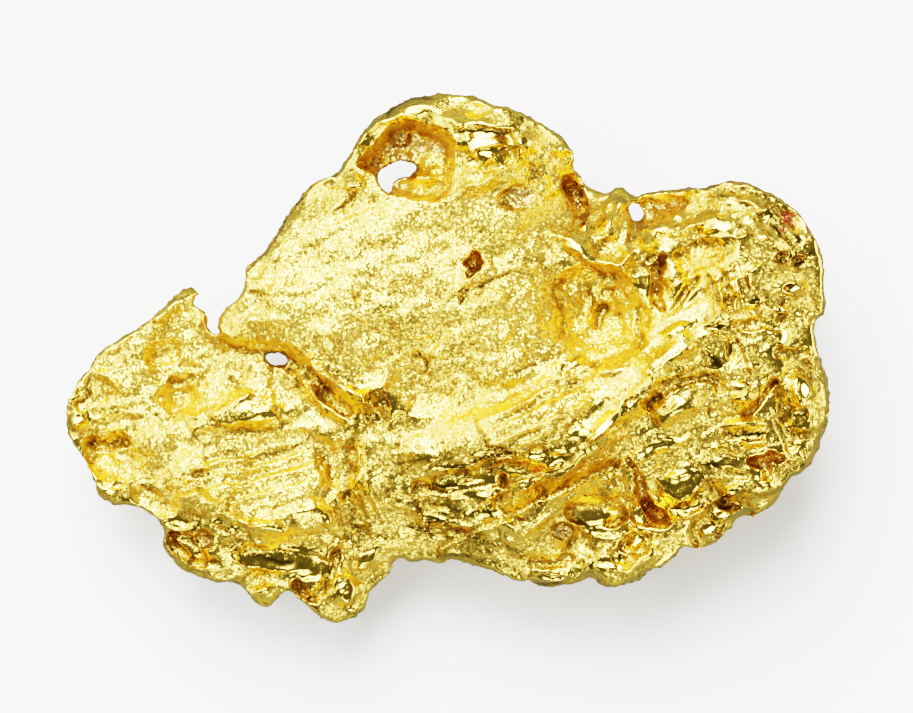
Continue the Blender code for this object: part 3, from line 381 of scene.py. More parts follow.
FINE_RIDGES = [
    # arch
    ([(-2.1, 5.55), (-1.75, 5.85), (-1.2, 6.05), (-0.75, 6.1)], 0.12, 0.12),
    ([(-1.85, 5.05), (-1.85, 5.4)], 0.1, 0.3),
    ([(-0.45, 5.9), (-0.1, 5.75), (0.15, 5.5), (0.32, 5.2)], 0.14, 0.15),
    ([(0.5, 5.15), (0.9, 5.05), (1.3, 5.05)], 0.14, 0.12),
    ([(2.2, 5.0), (2.3, 4.7), (2.45, 4.35), (2.5, 4.0)], 0.12, 0.12),
    ([(2.75, 4.95), (2.85, 4.6), (2.95, 4.3)], 0.12, 0.12),
    ([(1.4, 4.35), (1.75, 4.5), (2.1, 4.4)], 0.12, 0.12),
    # notch, rope ridge and orange basin
    ([(2.9, 2.88), (3.3, 2.6), (3.7, 2.3), (4.1, 2.12)], 0.14, 0.15),
    ([(3.4, 3.4), (3.6, 3.1), (3.9, 2.9)], 0.14, 0.15),
    ([(5.3, 3.4), (5.6, 3.55), (5.75, 3.75)], 0.12, 0.18),
    ([(4.65, 4.08), (5.2, 4.16), (5.8, 4.2), (6.45, 4.28)], 0.1, 0.15),
    ([(3.55, 1.9), (3.6, 1.5), (3.6, 1.1), (3.5, 0.8)], 0.14, 0.28),
    # right lobe
    ([(6.35, 2.4), (6.5, 2.0), (6.55, 1.6)], 0.1, 0.1),
    ([(7.35, 2.3), (7.5, 1.95), (7.6, 1.6)], 0.12, 0.12),
    ([(8.0, 2.2), (8.5, 2.15), (9.0, 2.1)], 0.12, 0.12),
    ([(8.4, 0.85), (8.5, 0.6), (8.6, 0.4)], 0.12, 0.12),
    ([(7.2, 0.7), (7.6, 0.65), (8.0, 0.7), (8.3, 0.55)], 0.14, 0.14),
    ([(6.4, 0.65), (6.8, 0.6), (7.1, 0.5)], 0.12, 0.12),
    # right body
    ([(5.6, -0.35), (6.1, -0.2), (6.6, -0.15), (7.0, -0.3)], 0.16, 0.18),
    ([(6.9, -0.75), (7.2, -0.65), (7.5, -0.7)], 0.13, 0.15),
    ([(8.45, -0.4), (8.4, -0.8), (8.42, -1.2)], 0.1, 0.15),
    ([(5.2, -2.0), (5.7, -2.05), (6.2, -1.95)], 0.14, 0.15),
    ([(6.6, -2.2), (7.0, -2.3), (7.4, -2.5)], 0.16, 0.16),
    ([(5.3, -2.9), (5.35, -3.3), (5.5, -3.7)], 0.14, 0.15),
    ([(7.6, -2.95), (7.9, -3.05), (8.3, -2.95)], 0.12, 0.15),
    # left arm and block
    ([(-8.7, -1.95), (-8.3, -1.8), (-7.95, -1.75)], 0.12, 0.14),
    ([(-7.75, -3.05), (-7.5, -3.2), (-7.2, -3.3)], 0.12, 0.12),
    ([(-6.9, -3.78), (-6.3, -3.75), (-6.0, -3.9), (-5.6, -4.2)], 0.14, 0.16),
    ([(-6.9, -4.3), (-6.5, -4.25), (-6.2, -4.15)], 0.1, 0.1),
    ([(-6.35, -4.75), (-6.1, -4.8), (-5.85, -4.6), (-5.95, -4.4)], 0.1, 0.12),
    ([(-5.4, -4.95), (-4.8, -5.25), (-4.2, -5.35), (-3.6, -5.25)], 0.16, 0.14),
    ([(-5.0, -4.6), (-4.4, -4.8), (-3.7, -4.85)], 0.14, 0.12),
    ([(-2.85, -5.6), (-2.6, -5.45), (-2.35, -5.6), (-2.3, -5.85), (-2.5, -6.05), (-2.8, -5.95)], 0.1, 0.14),
    ([(-2.6, -4.45), (-2.85, -4.8), (-2.95, -5.2)], 0.12, 0.18),
    ([(-2.95, 0.8), (-2.8, 0.4), (-2.55, 0.0)], 0.1, 0.12),
    ([(-5.75, 0.9), (-5.5, 0.55), (-5.1, 0.35)], 0.1, 0.15),
    # front
    ([(-0.6, -2.85), (0.0, -2.82), (0.5, -2.68), (1.2, -2.48), (2.0, -2.38)], 0.1, 0.1),
    ([(-0.9, -3.9), (-0.3, -4.1), (0.3, -4.2), (0.9, -4.25)], 0.1, 0.1),
    ([(2.0, -4.38), (2.5, -3.98), (2.8, -3.88), (3.1, -4.08), (3.5, -4.33), (3.9, -4.48), (4.4, -4.48)],
     0.12, 0.14),
    ([(2.65, -4.1), (2.95, -4.1), (3.15, -4.3), (3.15, -4.55)], 0.1, 0.16),
]

# Lumps: centre x and y, half length, half width, turn in degrees, height.
MAIN_LUMPS = [
    (-0.4, 4.5, 0.55, 0.4, 10, 0.3), (2.1, 5.4, 0.4, 0.35, 0, 0.3), (2.95, 5.2, 0.25, 0.2, 40, 0.2),
    (2.75, 3.15, 0.3, 0.3, 0, 0.25), (5.0, 2.85, 0.3, 0.3, 0, 0.4), (5.65, 2.0, 0.4, 0.55, 10, 0.3),
    (8.6, 1.75, 0.45, 0.3, 10, 0.25), (8.4, 1.2, 0.3, 0.2, 0, 0.2), (5.7, 0.72, 0.5, 0.22, 20, 0.25),
    (5.75, -1.15, 0.8, 0.5, 25, 0.35), (7.4, -1.0, 0.4, 0.25, 10, 0.25), (7.4, -1.65, 0.6, 0.25, 5, 0.3),
    (8.9, -1.05, 0.48, 0.9, 12, 0.6), (8.0, -3.25, 0.45, 0.28, 10, 0.35), (7.15, -3.3, 0.4, 0.22, 20, 0.25),
    (5.95, -3.2, 0.65, 0.65, 0, 0.5), (4.75, -4.6, 0.3, 0.22, 20, 0.2), (4.0, -0.25, 0.5, 0.22, 10, 0.2),
    (1.9, -3.4, 0.55, 0.5, 0, 0.35), (2.6, -5.4, 0.6, 0.3, 5, 0.25), (2.85, -4.5, 0.35, 0.25, 0, 0.2),
    (-1.75, -1.25, 0.28, 0.4, 10, 0.25), (-3.4, -0.75, 0.3, 0.2, -40, 0.2),
    (-9.2, -1.55, 0.3, 0.35, 0, 0.25),
    (-4.6, -5.8, 0.5, 0.32, 10, 0.3), (-2.55, -5.75, 0.5, 0.5, 0, 0.3), (-1.95, -5.1, 0.4, 0.3, 20, 0.25),
    (-2.3, 4.4, 0.35, 0.3, 20, 0.2), (7.0, -3.95, 0.45, 0.3, 0, 0.25),
]
FINE_LUMPS = [
    (2.65, 5.25, 0.12, 0.12, 0, 0.12), (4.3, 3.9, 0.16, 0.12, 20, 0.12), (5.2, 4.02, 0.16, 0.1, 10, 0.12),
    (3.45, 3.3, 0.14, 0.12, 0, 0.1), (7.95, 3.05, 0.22, 0.14, -10, 0.14), (8.8, 1.15, 0.16, 0.12, 0, 0.12),
    (7.7, 1.4, 0.22, 0.12, 20, 0.12), (7.35, -0.7, 0.18, 0.1, 10, 0.1), (7.6, -0.2, 0.2, 0.12, 10, 0.12),
    (8.4, 0.45, 0.2, 0.25, 0, 0.15), (7.65, -3.4, 0.22, 0.18, 0, 0.15), (4.5, -4.1, 0.25, 0.2, 0, 0.14),
    (8.55, 2.6, 0.14, 0.1, 0, 0.1), (8.9, 2.65, 0.12, 0.1, 0, 0.1), (-8.25, -2.5, 0.2, 0.12, -10, 0.12),
    (-5.35, -4.35, 0.2, 0.14, 0, 0.12), (-2.4, -6.3, 0.2, 0.14, -20, 0.12), (0.1, -4.9, 0.2, 0.12, 0, 0.1),
    (1.9, -4.9, 0.22, 0.14, 0, 0.12), (3.0, -5.4, 0.2, 0.12, 0, 0.1), (6.6, -4.3, 0.3, 0.2, 0, 0.15),
    (2.55, -2.6, 0.22, 0.12, 20, 0.12), (6.3, -3.2, 0.25, 0.3, 0, 0.15), (5.6, -3.0, 0.22, 0.25, 0, 0.12),
    (0.3, -3.55, 0.25, 0.14, 0, 0.1), (-0.9, -3.3, 0.22, 0.14, 0, 0.1), (4.2, -3.4, 0.3, 0.2, 30, 0.15),
]

# Hollows with steep walls: the closed outline, the depth and the width of the wall.
ARCH_CAVITY = [
    (-2.3, 4.85), (-2.0, 5.2), (-1.75, 5.5), (-1.5, 5.75), (-1.2, 5.92), (-0.9, 5.97), (-0.6, 5.85),
    (-0.3, 5.7), (0.0, 5.55), (0.15, 5.35), (0.2, 5.0), (0.15, 4.35), (-0.05, 4.1), (-0.4, 3.95),
    (-1.0, 4.0), (-1.5, 4.1), (-1.75, 4.5), (-2.1, 4.7),
]
NOTCH_HOLLOW = [(3.0, 4.6), (3.4, 4.3), (3.5, 3.9), (3.5, 3.55), (3.3, 3.45), (3.0, 3.9), (2.85, 4.3)]
LOBE_RECESS = [
    (4.75, 3.95), (5.1, 4.08), (5.6, 4.08), (6.0, 4.0), (5.85, 3.75), (5.5, 3.6), (5.2, 3.4), (4.9, 3.3),
    (4.7, 3.0), (4.45, 2.85), (4.5, 3.2), (4.6, 3.6),
]
BASIN = [
    (2.79, 0.59), (2.64, 1.1), (2.64, 1.5), (2.74, 2.1), (3.27, 2.3), (3.89, 2.13), (4.13, 1.74),
    (4.71, 0.78),
    (4.75, 0.3), (4.13, 0.21), (3.6, 0.0), (3.08, 0.11),
]
LOBE_CREVICE = [
    (5.55, 2.62), (5.2, 2.45), (5.08, 2.1), (5.12, 1.6), (5.35, 1.2), (5.45, 1.3), (5.3, 1.7), (5.3, 2.15),
]
STAR_PIT = [
    (0.38, 2.42), (0.55, 2.55), (0.66, 2.72), (0.8, 2.62), (0.82, 2.48), (1.0, 2.4), (0.84, 2.33),
    (0.86, 2.18), (0.68, 2.1), (0.58, 1.98), (0.44, 2.08), (0.56, 2.22),
]
SIDE_CREVICE = [
    (4.35, -2.3), (4.5, -2.4), (4.75, -2.65), (4.92, -2.95), (5.0, -3.35), (5.15, -3.65), (5.5, -3.85),
    (5.5, -4.1), (5.1, -4.05), (4.82, -3.75), (4.72, -3.3), (4.65, -2.9), (4.45, -2.6),
]
RIGHT_CRACK = [
    (7.05, -1.47), (7.4, -1.42), (7.7, -1.28), (7.9, -1.02), (8.05, -0.75), (8.22, -0.6), (8.1, -0.5),
    (7.9, -0.7), (7.8, -0.95), (7.6, -1.15), (7.35, -1.28),
]
LOWER_RIGHT_HOLLOW = [
    (7.45, -2.5), (7.8, -2.38), (8.15, -2.32), (8.45, -2.45), (8.3, -2.62), (8.08, -2.58), (8.12, -2.85),
    (7.92, -3.0), (7.82, -2.72), (7.55, -2.65),
]
BLOCK_POCKET = [
    (-6.3, -4.5), (-6.2, -4.35), (-6.0, -4.32), (-5.86, -4.45), (-5.88, -4.65), (-6.05, -4.75), (-6.25, -4.7),
]
EYE_POCKET = [(2.55, -4.35), (2.75, -4.18), (3.05, -4.2), (3.2, -4.4), (3.0, -4.55), (2.7, -4.52)]
CROWN_HOLLOW = [(1.2, 3.95), (1.5, 4.25), (1.9, 4.35), (2.2, 4.2), (2.1, 3.8), (1.7, 3.65), (1.35, 3.75)]
HOLLOWS = [
    (ARCH_CAVITY, 0.8, 0.35), (NOTCH_HOLLOW, 0.5, 0.2), (LOBE_RECESS, 0.4, 0.2), (BASIN, 0.22, 0.5),
    (LOBE_CREVICE, 0.6, 0.14), (STAR_PIT, 0.7, 0.14), (SIDE_CREVICE, 0.7, 0.2), (RIGHT_CRACK, 0.6, 0.12),
    (LOWER_RIGHT_HOLLOW, 0.6, 0.14), (BLOCK_POCKET, 0.3, 0.12), (EYE_POCKET, 0.2, 0.12),
    (CROWN_HOLLOW, 0.15, 0.15),
]

# Creases: their points, half width and depth.
MAIN_CREASES = [
    ([(-1.7, 6.05), (-1.3, 6.25), (-0.9, 6.45), (-0.3, 6.5)], 0.14, 0.15),
    ([(0.1, 5.6), (0.9, 5.65), (1.5, 5.6), (1.7, 5.1)], 0.16, 0.2),
    ([(-6.95, -0.5), (-6.75, -0.6), (-6.5, -0.5), (-6.3, -0.42)], 0.12, 0.25),
    ([(-0.8, 0.2), (-0.65, 0.0), (-0.5, -0.1), (-0.55, -0.35), (-0.75, -0.45)], 0.09, 0.15),
    ([(-2.6, -2.0), (-2.5, -2.6), (-2.55, -3.2), (-2.4, -3.8), (-2.3, -4.2), (-1.9, -4.6)], 0.25, 0.22),
    ([(-4.0, -0.1), (-3.6, -0.2), (-3.2, -0.55), (-2.9, -0.95), (-2.6, -1.22), (-2.3, -1.45)], 0.16, 0.4),
    ([(5.65, -0.7), (5.9, -0.6), (6.2, -0.5), (6.5, -0.45), (6.75, -0.6), (6.8, -0.9)], 0.12, 0.3),
    ([(4.9, -1.25), (5.15, -1.05), (5.4, -0.95)], 0.15, 0.35),
    ([(6.8, -1.9), (7.1, -1.92), (7.5, -1.92), (7.95, -1.88)], 0.12, 0.2),
    ([(6.5, -3.0), (6.7, -3.3), (6.95, -3.6), (7.4, -3.7)], 0.18, 0.3),
    ([(1.2, -3.2), (1.35, -3.8), (2.0, -4.0), (2.4, -3.4), (2.35, -3.0)], 0.14, 0.25),
    ([(2.0, -5.1), (2.6, -5.1), (3.2, -4.9)], 0.15, 0.2),
    ([(-7.0, -4.4), (-6.5, -4.9), (-5.6, -5.2)], 0.16, 0.2),
    ([(-3.9, -5.5), (-3.65, -5.8), (-3.4, -6.0), (-3.1, -5.7), (-2.95, -5.3), (-2.7, -4.7)], 0.16, 0.35),
    ([(-8.95, -2.05), (-8.6, -2.15), (-8.2, -2.1), (-7.9, -2.0)], 0.18, 0.35),
    ([(7.9, 3.7), (8.2, 3.4), (8.5, 3.1), (8.9, 2.8)], 0.16, 0.2),
    ([(8.1, 2.5), (8.6, 2.45), (9.1, 2.65)], 0.14, 0.2),
    ([(8.15, 0.2), (8.6, 0.1), (9.0, 0.2)], 0.18, 0.25),
]
FINE_CREASES = [
    # along the plate's and the arm's rims, round the arm's tongue and over the raised lobe
    ([(-5.0, 1.95), (-4.5, 2.65), (-4.25, 3.1), (-3.98, 3.65), (-3.45, 4.15)], 0.1, 0.12),
    ([(-9.29, -0.83), (-8.9, -0.06), (-8.43, 0.42), (-7.75, 0.8), (-7.17, 1.28)], 0.09, 0.1),
    ([(-6.1, -0.83), (-5.97, -1.5), (-5.44, -1.8), (-4.67, -1.84), (-4.0, -1.65),
    (-3.7, -1.41)], 0.09, 0.12),
    ([(0.5, 1.6), (0.9, 1.85), (1.3, 2.05), (1.9, 2.15), (2.3, 1.95)], 0.09, 0.12),
    # the folds along the upper lobe's edge
    ([(6.25, 4.05), (7.2, 3.95), (7.95, 3.4), (8.5, 2.8), (9.05, 2.2)], 0.14, 0.16),
    ([(6.5, 4.25), (7.4, 4.2), (8.2, 3.75), (8.9, 2.9)], 0.12, 0.14),
    ([(-2.85, 3.65), (-2.5, 3.9), (-2.3, 4.15)], 0.07, 0.12),
    ([(-2.35, 1.65), (-2.25, 1.5), (-2.15, 1.45)], 0.06, 0.12),
    ([(0.45, 1.75), (0.42, 1.55), (0.38, 1.35)], 0.06, 0.12),
    ([(3.95, 1.4), (3.85, 1.15), (3.8, 1.0), (3.7, 0.7)], 0.09, 0.25),
    ([(4.6, 1.3), (4.75, 1.1), (4.75, 0.7), (4.85, 0.5), (4.6, 0.15)], 0.09, 0.2),
    ([(2.1, 4.9), (2.15, 4.65), (2.2, 4.4)], 0.07, 0.15),
    ([(6.3, 2.1), (6.1, 1.8), (5.9, 1.6), (5.5, 1.15)], 0.08, 0.18),
    ([(6.4, 2.2), (6.65, 1.7), (6.75, 1.2)], 0.06, 0.12),
    ([(6.8, 2.2), (6.95, 1.7), (7.05, 1.2)], 0.07, 0.14),
    ([(5.45, 2.6), (5.2, 2.55), (4.95, 2.5)], 0.09, 0.2),
    ([(-9.0, -0.35), (-8.95, -0.9), (-9.15, -1.1), (-9.35, -1.2)], 0.08, 0.15),
    ([(-7.35, -1.4), (-7.2, -1.5), (-7.1, -1.65)], 0.06, 0.12),
    ([(-5.45, -0.4), (-5.35, -0.55), (-5.2, -0.7)], 0.06, 0.12),
    ([(-4.0, -0.25), (-3.8, -0.4), (-3.75, -0.8)], 0.1, 0.3),
    ([(-3.85, -5.65), (-3.65, -5.8), (-3.4, -6.0), (-3.2, -6.15)], 0.08, 0.2),
    ([(-1.5, -3.55), (-1.1, -3.62), (-0.6, -3.82), (-0.2, -3.9), (0.1, -4.0), (0.6, -4.08)], 0.07, 0.16),
    ([(-0.6, -2.95), (0.0, -2.95), (0.5, -2.8), (1.2, -2.6), (2.0, -2.5)], 0.08, 0.16),
    ([(-1.1, -4.1), (-0.3, -4.28), (0.4, -4.38), (1.0, -4.45)], 0.08, 0.14),
    ([(0.5, -3.9), (0.8, -3.85), (1.15, -3.9)], 0.09, 0.15),
    ([(2.1, -5.65), (2.5, -5.68), (2.9, -5.62)], 0.06, 0.1),
    ([(4.15, -4.75), (4.3, -4.9), (4.45, -5.05)], 0.09, 0.18),
    ([(6.35, 0.78), (6.7, 0.82), (7.05, 0.86)], 0.08, 0.18),
    ([(7.1, 0.45), (7.05, 0.2), (7.05, 0.0)], 0.09, 0.18),
    ([(6.3, 0.2), (6.6, 0.0), (6.9, -0.3)], 0.09, 0.18),
    ([(3.35, -0.38), (3.6, -0.2), (3.85, -0.02)], 0.09, 0.14),
    ([(2.95, -0.65), (3.2, -0.6), (3.5, -0.55)], 0.08, 0.12),
    ([(-3.05, -0.12), (-2.7, -0.4), (-2.3, -0.65)], 0.06, 0.12),
    ([(7.2, 3.1), (7.3, 3.35), (7.15, 3.6)], 0.07, 0.12),
    ([(5.7, 3.05), (5.73, 3.2), (5.75, 3.3)], 0.07, 0.2),
    ([(8.1, -0.4), (8.3, -0.9), (8.35, -1.4), (8.6, -1.9), (8.85, -2.1)], 0.1, 0.25),
    ([(8.45, -2.6), (8.7, -2.7), (8.95, -2.7)], 0.1, 0.18),
    ([(6.9, -2.75), (7.2, -2.9), (7.55, -2.95)], 0.1, 0.2),
    ([(1.5, -2.95), (1.3, -3.05), (1.35, -3.25)], 0.09, 0.2),
]

# Pits: centre x and y, half length, half width, turn in degrees, depth.
PITS = [
    (-9.17, -0.85, 0.08, 0.07, 0, 0.15), (-7.75, -0.95, 0.07, 0.06, 0, 0.1),
    (-7.6, -1.15, 0.07, 0.06, 0, 0.1),
    (-7.2, -0.95, 0.06, 0.05, 0, 0.1), (-7.65, -0.7, 0.06, 0.05, 0, 0.1),
    (-8.85, -2.07, 0.26, 0.1, 0, 0.25),
    (-8.2, -2.1, 0.22, 0.16, 0, 0.25), (-8.2, -3.15, 0.17, 0.12, 0, 0.25), (-5.5, -4.7, 0.2, 0.14, 20, 0.2),
    (-2.52, -3.45, 0.11, 0.17, 0, 0.3), (-6.0, 1.0, 0.08, 0.14, 0, 0.25),
    (-0.68, 0.02, 0.07, 0.06, 0, 0.15),
    (-0.6, -0.7, 0.07, 0.06, 0, 0.12), (-1.25, -2.25, 0.08, 0.07, 0, 0.14),
    (-0.7, -2.25, 0.1, 0.07, 20, 0.14),
    (-1.5, -1.8, 0.08, 0.06, 0, 0.12), (-2.25, 1.55, 0.08, 0.06, -40, 0.14),
    (-1.2, 3.3, 0.2, 0.16, 0, 0.08),
    (-2.95, 4.35, 0.2, 0.1, 20, 0.16), (-2.4, 4.62, 0.1, 0.07, 20, 0.16), (1.3, 2.6, 0.14, 0.1, 0, 0.12),
    (2.05, 2.4, 0.12, 0.1, 0, 0.12), (0.85, 3.1, 0.12, 0.1, 0, 0.1), (4.0, 1.65, 0.14, 0.12, 0, 0.25),
    (3.7, 0.35, 0.1, 0.08, 0, 0.18), (3.9, 0.25, 0.08, 0.07, 0, 0.18), (1.03, 6.05, 0.1, 0.08, 0, 0.15),
    (5.05, 3.5, 0.14, 0.12, 0, 0.25), (5.4, 3.85, 0.18, 0.1, 10, 0.25), (6.5, 2.9, 0.2, 0.12, 0, 0.2),
    (5.8, 2.6, 0.16, 0.12, 0, 0.2), (7.95, 3.65, 0.12, 0.24, -20, 0.2), (8.3, 1.0, 0.16, 0.08, 10, 0.2),
    (9.1, 0.95, 0.12, 0.09, 0, 0.2), (8.15, 1.15, 0.12, 0.08, 0, 0.15), (7.85, -0.5, 0.12, 0.1, 0, 0.2),
    (8.65, -2.2, 0.14, 0.1, 0, 0.25), (1.4, -3.0, 0.16, 0.1, 0, 0.25),
    (0.97, -4.78, 0.06, 0.05, 0, 0.1), (0.95, -5.08, 0.05, 0.05, 0, 0.1), (1.25, -4.85, 0.06, 0.05, 0, 0.1),
    (1.7, -5.25, 0.06, 0.05, 0, 0.1), (1.85, -5.32, 0.05, 0.05, 0, 0.1), (3.3, -5.1, 0.09, 0.08, 0, 0.15),
    (-0.2, -4.42, 0.3, 0.14, 0, 0.15), (-1.4, -4.4, 0.24, 0.16, 0, 0.15), (3.15, -4.6, 0.16, 0.07, 0, 0.15),
    (6.95, -3.6, 0.18, 0.08, 0, 0.2), (-5.2, -4.6, 0.1, 0.08, 0, 0.12), (6.2, -3.6, 0.12, 0.1, 0, 0.1),
    (2.9, 1.4, 0.1, 0.18, 0, 0.15), (4.3, 1.1, 0.08, 0.08, 0, 0.12), (6.6, -1.35, 0.12, 0.08, 0, 0.15),
]

# Dents with gentle sides: centre x and y, half length, half width, turn in degrees, depth.
DENTS = [
    (-7.1, 0.15, 0.5, 0.3, 20, 0.25), (-6.5, -0.2, 0.3, 0.15, -10, 0.12),
    (-6.7, -0.95, 0.55, 0.45, 0, 0.25),
    (-4.8, 1.3, 0.5, 0.4, 0, 0.15),
    (0.7, 6.2, 0.45, 0.2, 0, 0.15), (-8.0, -1.6, 0.6, 0.4, 0, 0.15), (6.5, 2.75, 0.35, 0.25, 0, 0.2),
    (1.7, 4.0, 0.45, 0.25, 20, 0.2), (8.7, 3.4, 0.35, 0.25, -40, 0.2),
]

# The plates that lie calmer than the rest: centre x and y, half length, half width, turn in degrees.
CALM_PLATES = [
    (-2.6, 1.6, 2.9, 1.9, 35), (1.0, 0.4, 2.2, 1.3, 25), (-6.4, 0.2, 2.4, 1.2, 25),
    (-5.2, -2.9, 2.3, 1.0, 5), (-7.9, -1.6, 1.2, 1.2, 0), (3.7, 1.1, 1.1, 1.0, 0),
]

# Facets worn almost plane: centre x and y, half length, half width, turn. The level ones mirror the dark
# overhead; the tipped ones lean towards the back and catch the large panel.
LEVEL_FACETS = [
    (5.85, -3.28, 0.55, 0.42, 10), (6.2, -3.0, 0.25, 0.18, 0), (3.6, -3.9, 0.6, 0.36, -10),
    (-4.1, -5.08, 1.15, 0.38, -8), (-3.15, -5.3, 0.35, 0.22, 0), (-6.45, -4.72, 0.6, 0.24, -42),
    (0.25, -3.1, 0.75, 0.22, 6), (1.65, -2.78, 0.5, 0.18, -4), (0.8, -3.2, 0.5, 0.28, 0),
    (0.7, -3.9, 0.3, 0.09, 0), (1.12, -3.85, 0.22, 0.09, 10), (8.78, -1.6, 0.34, 0.34, 10),
    (7.85, -0.5, 0.14, 0.12, 0), (8.65, -2.2, 0.16, 0.1, 20), (7.5, -1.9, 0.45, 0.1, 0),
    (6.75, 0.8, 0.32, 0.09, 6),
    (6.6, -0.05, 0.32, 0.12, -40), (7.07, 0.2, 0.1, 0.26, 0), (3.45, -0.3, 0.3, 0.2, 35),
    (3.25, -0.6, 0.3, 0.1, 8),
    (-2.45, -0.45, 0.6, 0.28, -35), (-1.85, -1.5, 0.14, 0.12, 0), (7.95, 3.65, 0.11, 0.28, -20),
    (8.75, 2.9, 0.22, 0.1, -40), (8.6, 2.57, 0.5, 0.1, 8), (1.7, 4.05, 0.42, 0.16, 20),
    (4.3, -4.9, 0.22, 0.1, 45),
    (6.1, 1.55, 0.4, 0.14, 50), (4.85, -3.9, 0.3, 0.14, -50), (-8.1, -0.2, 0.5, 0.18, 30),
    (5.3, -2.2, 0.45, 0.14, 25),
    (6.9, -2.6, 0.4, 0.14, 10), (2.15, 3.0, 0.3, 0.12, 40), (3.9, 2.75, 0.3, 0.1, -20),
    (-1.9, -4.9, 0.3, 0.12, 30),
]
TIPPED_FACETS = [
    (0.0, -2.72, 0.5, 0.07, 8), (1.2, -2.46, 0.5, 0.07, 10),
    (5.7, 0.75, 0.42, 0.13, 20), (2.2, -2.42, 0.3, 0.1, 15), (2.65, -2.62, 0.32, 0.14, 30),
    (0.9, 5.4, 0.55, 0.25, 0), (3.9, -1.75, 0.7, 0.16, 42), (-9.2, -1.55, 0.25, 0.2, 0),
    (-6.7, -4.13, 0.25, 0.09, 0),
    (-5.8, -4.08, 0.25, 0.09, -10), (-5.35, -4.28, 0.2, 0.1, -20), (4.7, -4.6, 0.25, 0.14, 20),
    (7.15, -3.33, 0.3, 0.1, 20), (7.35, -0.7, 0.2, 0.07, 0), (7.6, -0.18, 0.2, 0.07, 10),
    (8.4, 0.45, 0.13, 0.24, 0),
    (8.7, 1.75, 0.35, 0.14, 10), (8.4, 1.25, 0.2, 0.11, 0), (8.82, 1.15, 0.15, 0.1, 0),
    (7.95, 3.05, 0.2, 0.1, -10),
    (7.7, 1.4, 0.2, 0.1, 20), (7.15, 1.8, 0.38, 0.1, -65), (6.8, 3.3, 0.5, 0.18, 10),
    (-6.8, 1.42, 0.2, 0.09, 20),
    (4.3, 3.9, 0.15, 0.11, 0), (3.45, 3.3, 0.15, 0.1, 0), (-1.5, 5.95, 0.3, 0.09, 30),
    (-0.85, 6.17, 0.3, 0.09, 0),
    (7.0, -3.85, 0.4, 0.18, 15), (6.55, -4.28, 0.3, 0.15, 40), (2.6, -5.52, 0.4, 0.1, 0),
    (4.0, -5.15, 0.4, 0.14, 8),
    (-2.05, -1.05, 0.12, 0.08, 0), (-1.6, -1.15, 0.1, 0.08, 0), (-8.25, -2.48, 0.2, 0.09, -10),
    (-7.5, -3.2, 0.25, 0.08, -20), (-2.4, -6.28, 0.2, 0.1, -20), (8.95, -0.75, 0.2, 0.3, 10),
    (4.95, 1.55, 0.35, 0.1, -45),
    (3.1, -0.15, 0.3, 0.12, 30), (6.0, -3.75, 0.4, 0.1, 10), (1.0, -2.35, 0.4, 0.09, 15),
    (-0.2, -4.08, 0.5, 0.07, -12),
]
# the two kinds' slopes, the roughness that stays on them, and the most they cut or fill
LEVEL_TILT = (0.02, 0.06)
TIPPED_TILT = (0.1, -0.36)
FACET_KEEP = 0.22
FACET_DEPTH = 0.35

# Places whose crumpled skin tips towards the back and shines: centre x and y, half length, half width, turn.
BRIGHT_PLACES = [
    (-3.5, 2.1, 1.6, 0.85, 30), (-1.7, 1.3, 1.3, 0.5, -25), (-2.4, 2.9, 0.8, 0.5, 40),
    (-0.9, 2.9, 0.5, 0.3, 40), (2.5, -2.5, 0.6, 0.3, 20),
    (-9.1, -1.5, 0.35, 0.3, 0), (0.6, 0.4, 0.9, 0.4, 20), (3.6, -1.6, 0.8, 0.3, 40),
    (1.1, 5.0, 0.5, 0.25, 10),
    (-6.6, -4.1, 0.4, 0.15, 0), (-5.5, -4.2, 0.4, 0.15, -20), (4.7, -4.6, 0.3, 0.2, 20),
]

# Places worn smooth: the egg and the rim beside it, the big lump, the drop at the finger's end.
WORN_PLACES = [
    (8.9, -1.05, 0.45, 0.9, 12), (9.4, -1.6, 0.3, 1.4, 0), (5.9, -3.3, 0.5, 0.5, 0),
    (-1.75, -1.25, 0.25, 0.35, 10),
    (7.0, -3.85, 0.5, 0.3, 20), (6.5, -4.3, 0.4, 0.3, 40), (3.8, -3.85, 0.6, 0.3, 0),
    (-4.1, -5.1, 1.0, 0.3, -8),
    (-6.5, -4.8, 0.5, 0.2, -40), (0.8, -3.0, 1.4, 0.2, 10),
    (-1.0, 4.95, 1.3, 1.0, 0), (4.95, -3.2, 0.6, 0.9, 30),
]

# Other places with a frosted skin: the basin, the plate's lower layers and the slope below the arch.
FROSTED_PLACES = [
    (3.7, 1.1, 1.0, 0.9, 0), (2.0, -1.2, 1.8, 0.8, 25), (1.0, 3.2, 1.6, 1.4, 0),
]

# Where the hollows' ochre leaves the gold bare.
CLEAN_PLACES = [(-0.35, 4.55, 0.6, 0.5, 0)]

# Specks of red iron stain: centre x and y, half length, half width, turn.
STAINS = [
    (2.22, -2.76, 0.13, 0.06, 25), (8.5, 3.5, 0.22, 0.14, -50), (8.35, 3.2, 0.1, 0.06, 20),
    (8.95, 3.3, 0.1, 0.08, 0),
]

# Rows of grooves: centre x and y, half length and half width of the patch, the grooves' run in degrees,
# their spacing and their depth.
GROOVES = [
    (-5.2, -3.0, 2.4, 1.0, 14, 0.34, 0.11), (-8.3, -1.3, 0.9, 0.8, 10, 0.3, 0.05),
    (2.4, -1.4, 2.0, 0.9, 28, 0.32, 0.1), (6.9, 1.7, 0.8, 0.8, 110, 0.28, 0.07),
    (4.6, -2.9, 1.1, 0.9, 35, 0.3, 0.05), (7.0, 3.4, 1.0, 0.8, 10, 0.3, 0.04),
    (-1.6, -0.4, 1.0, 0.7, 25, 0.3, 0.03),
]


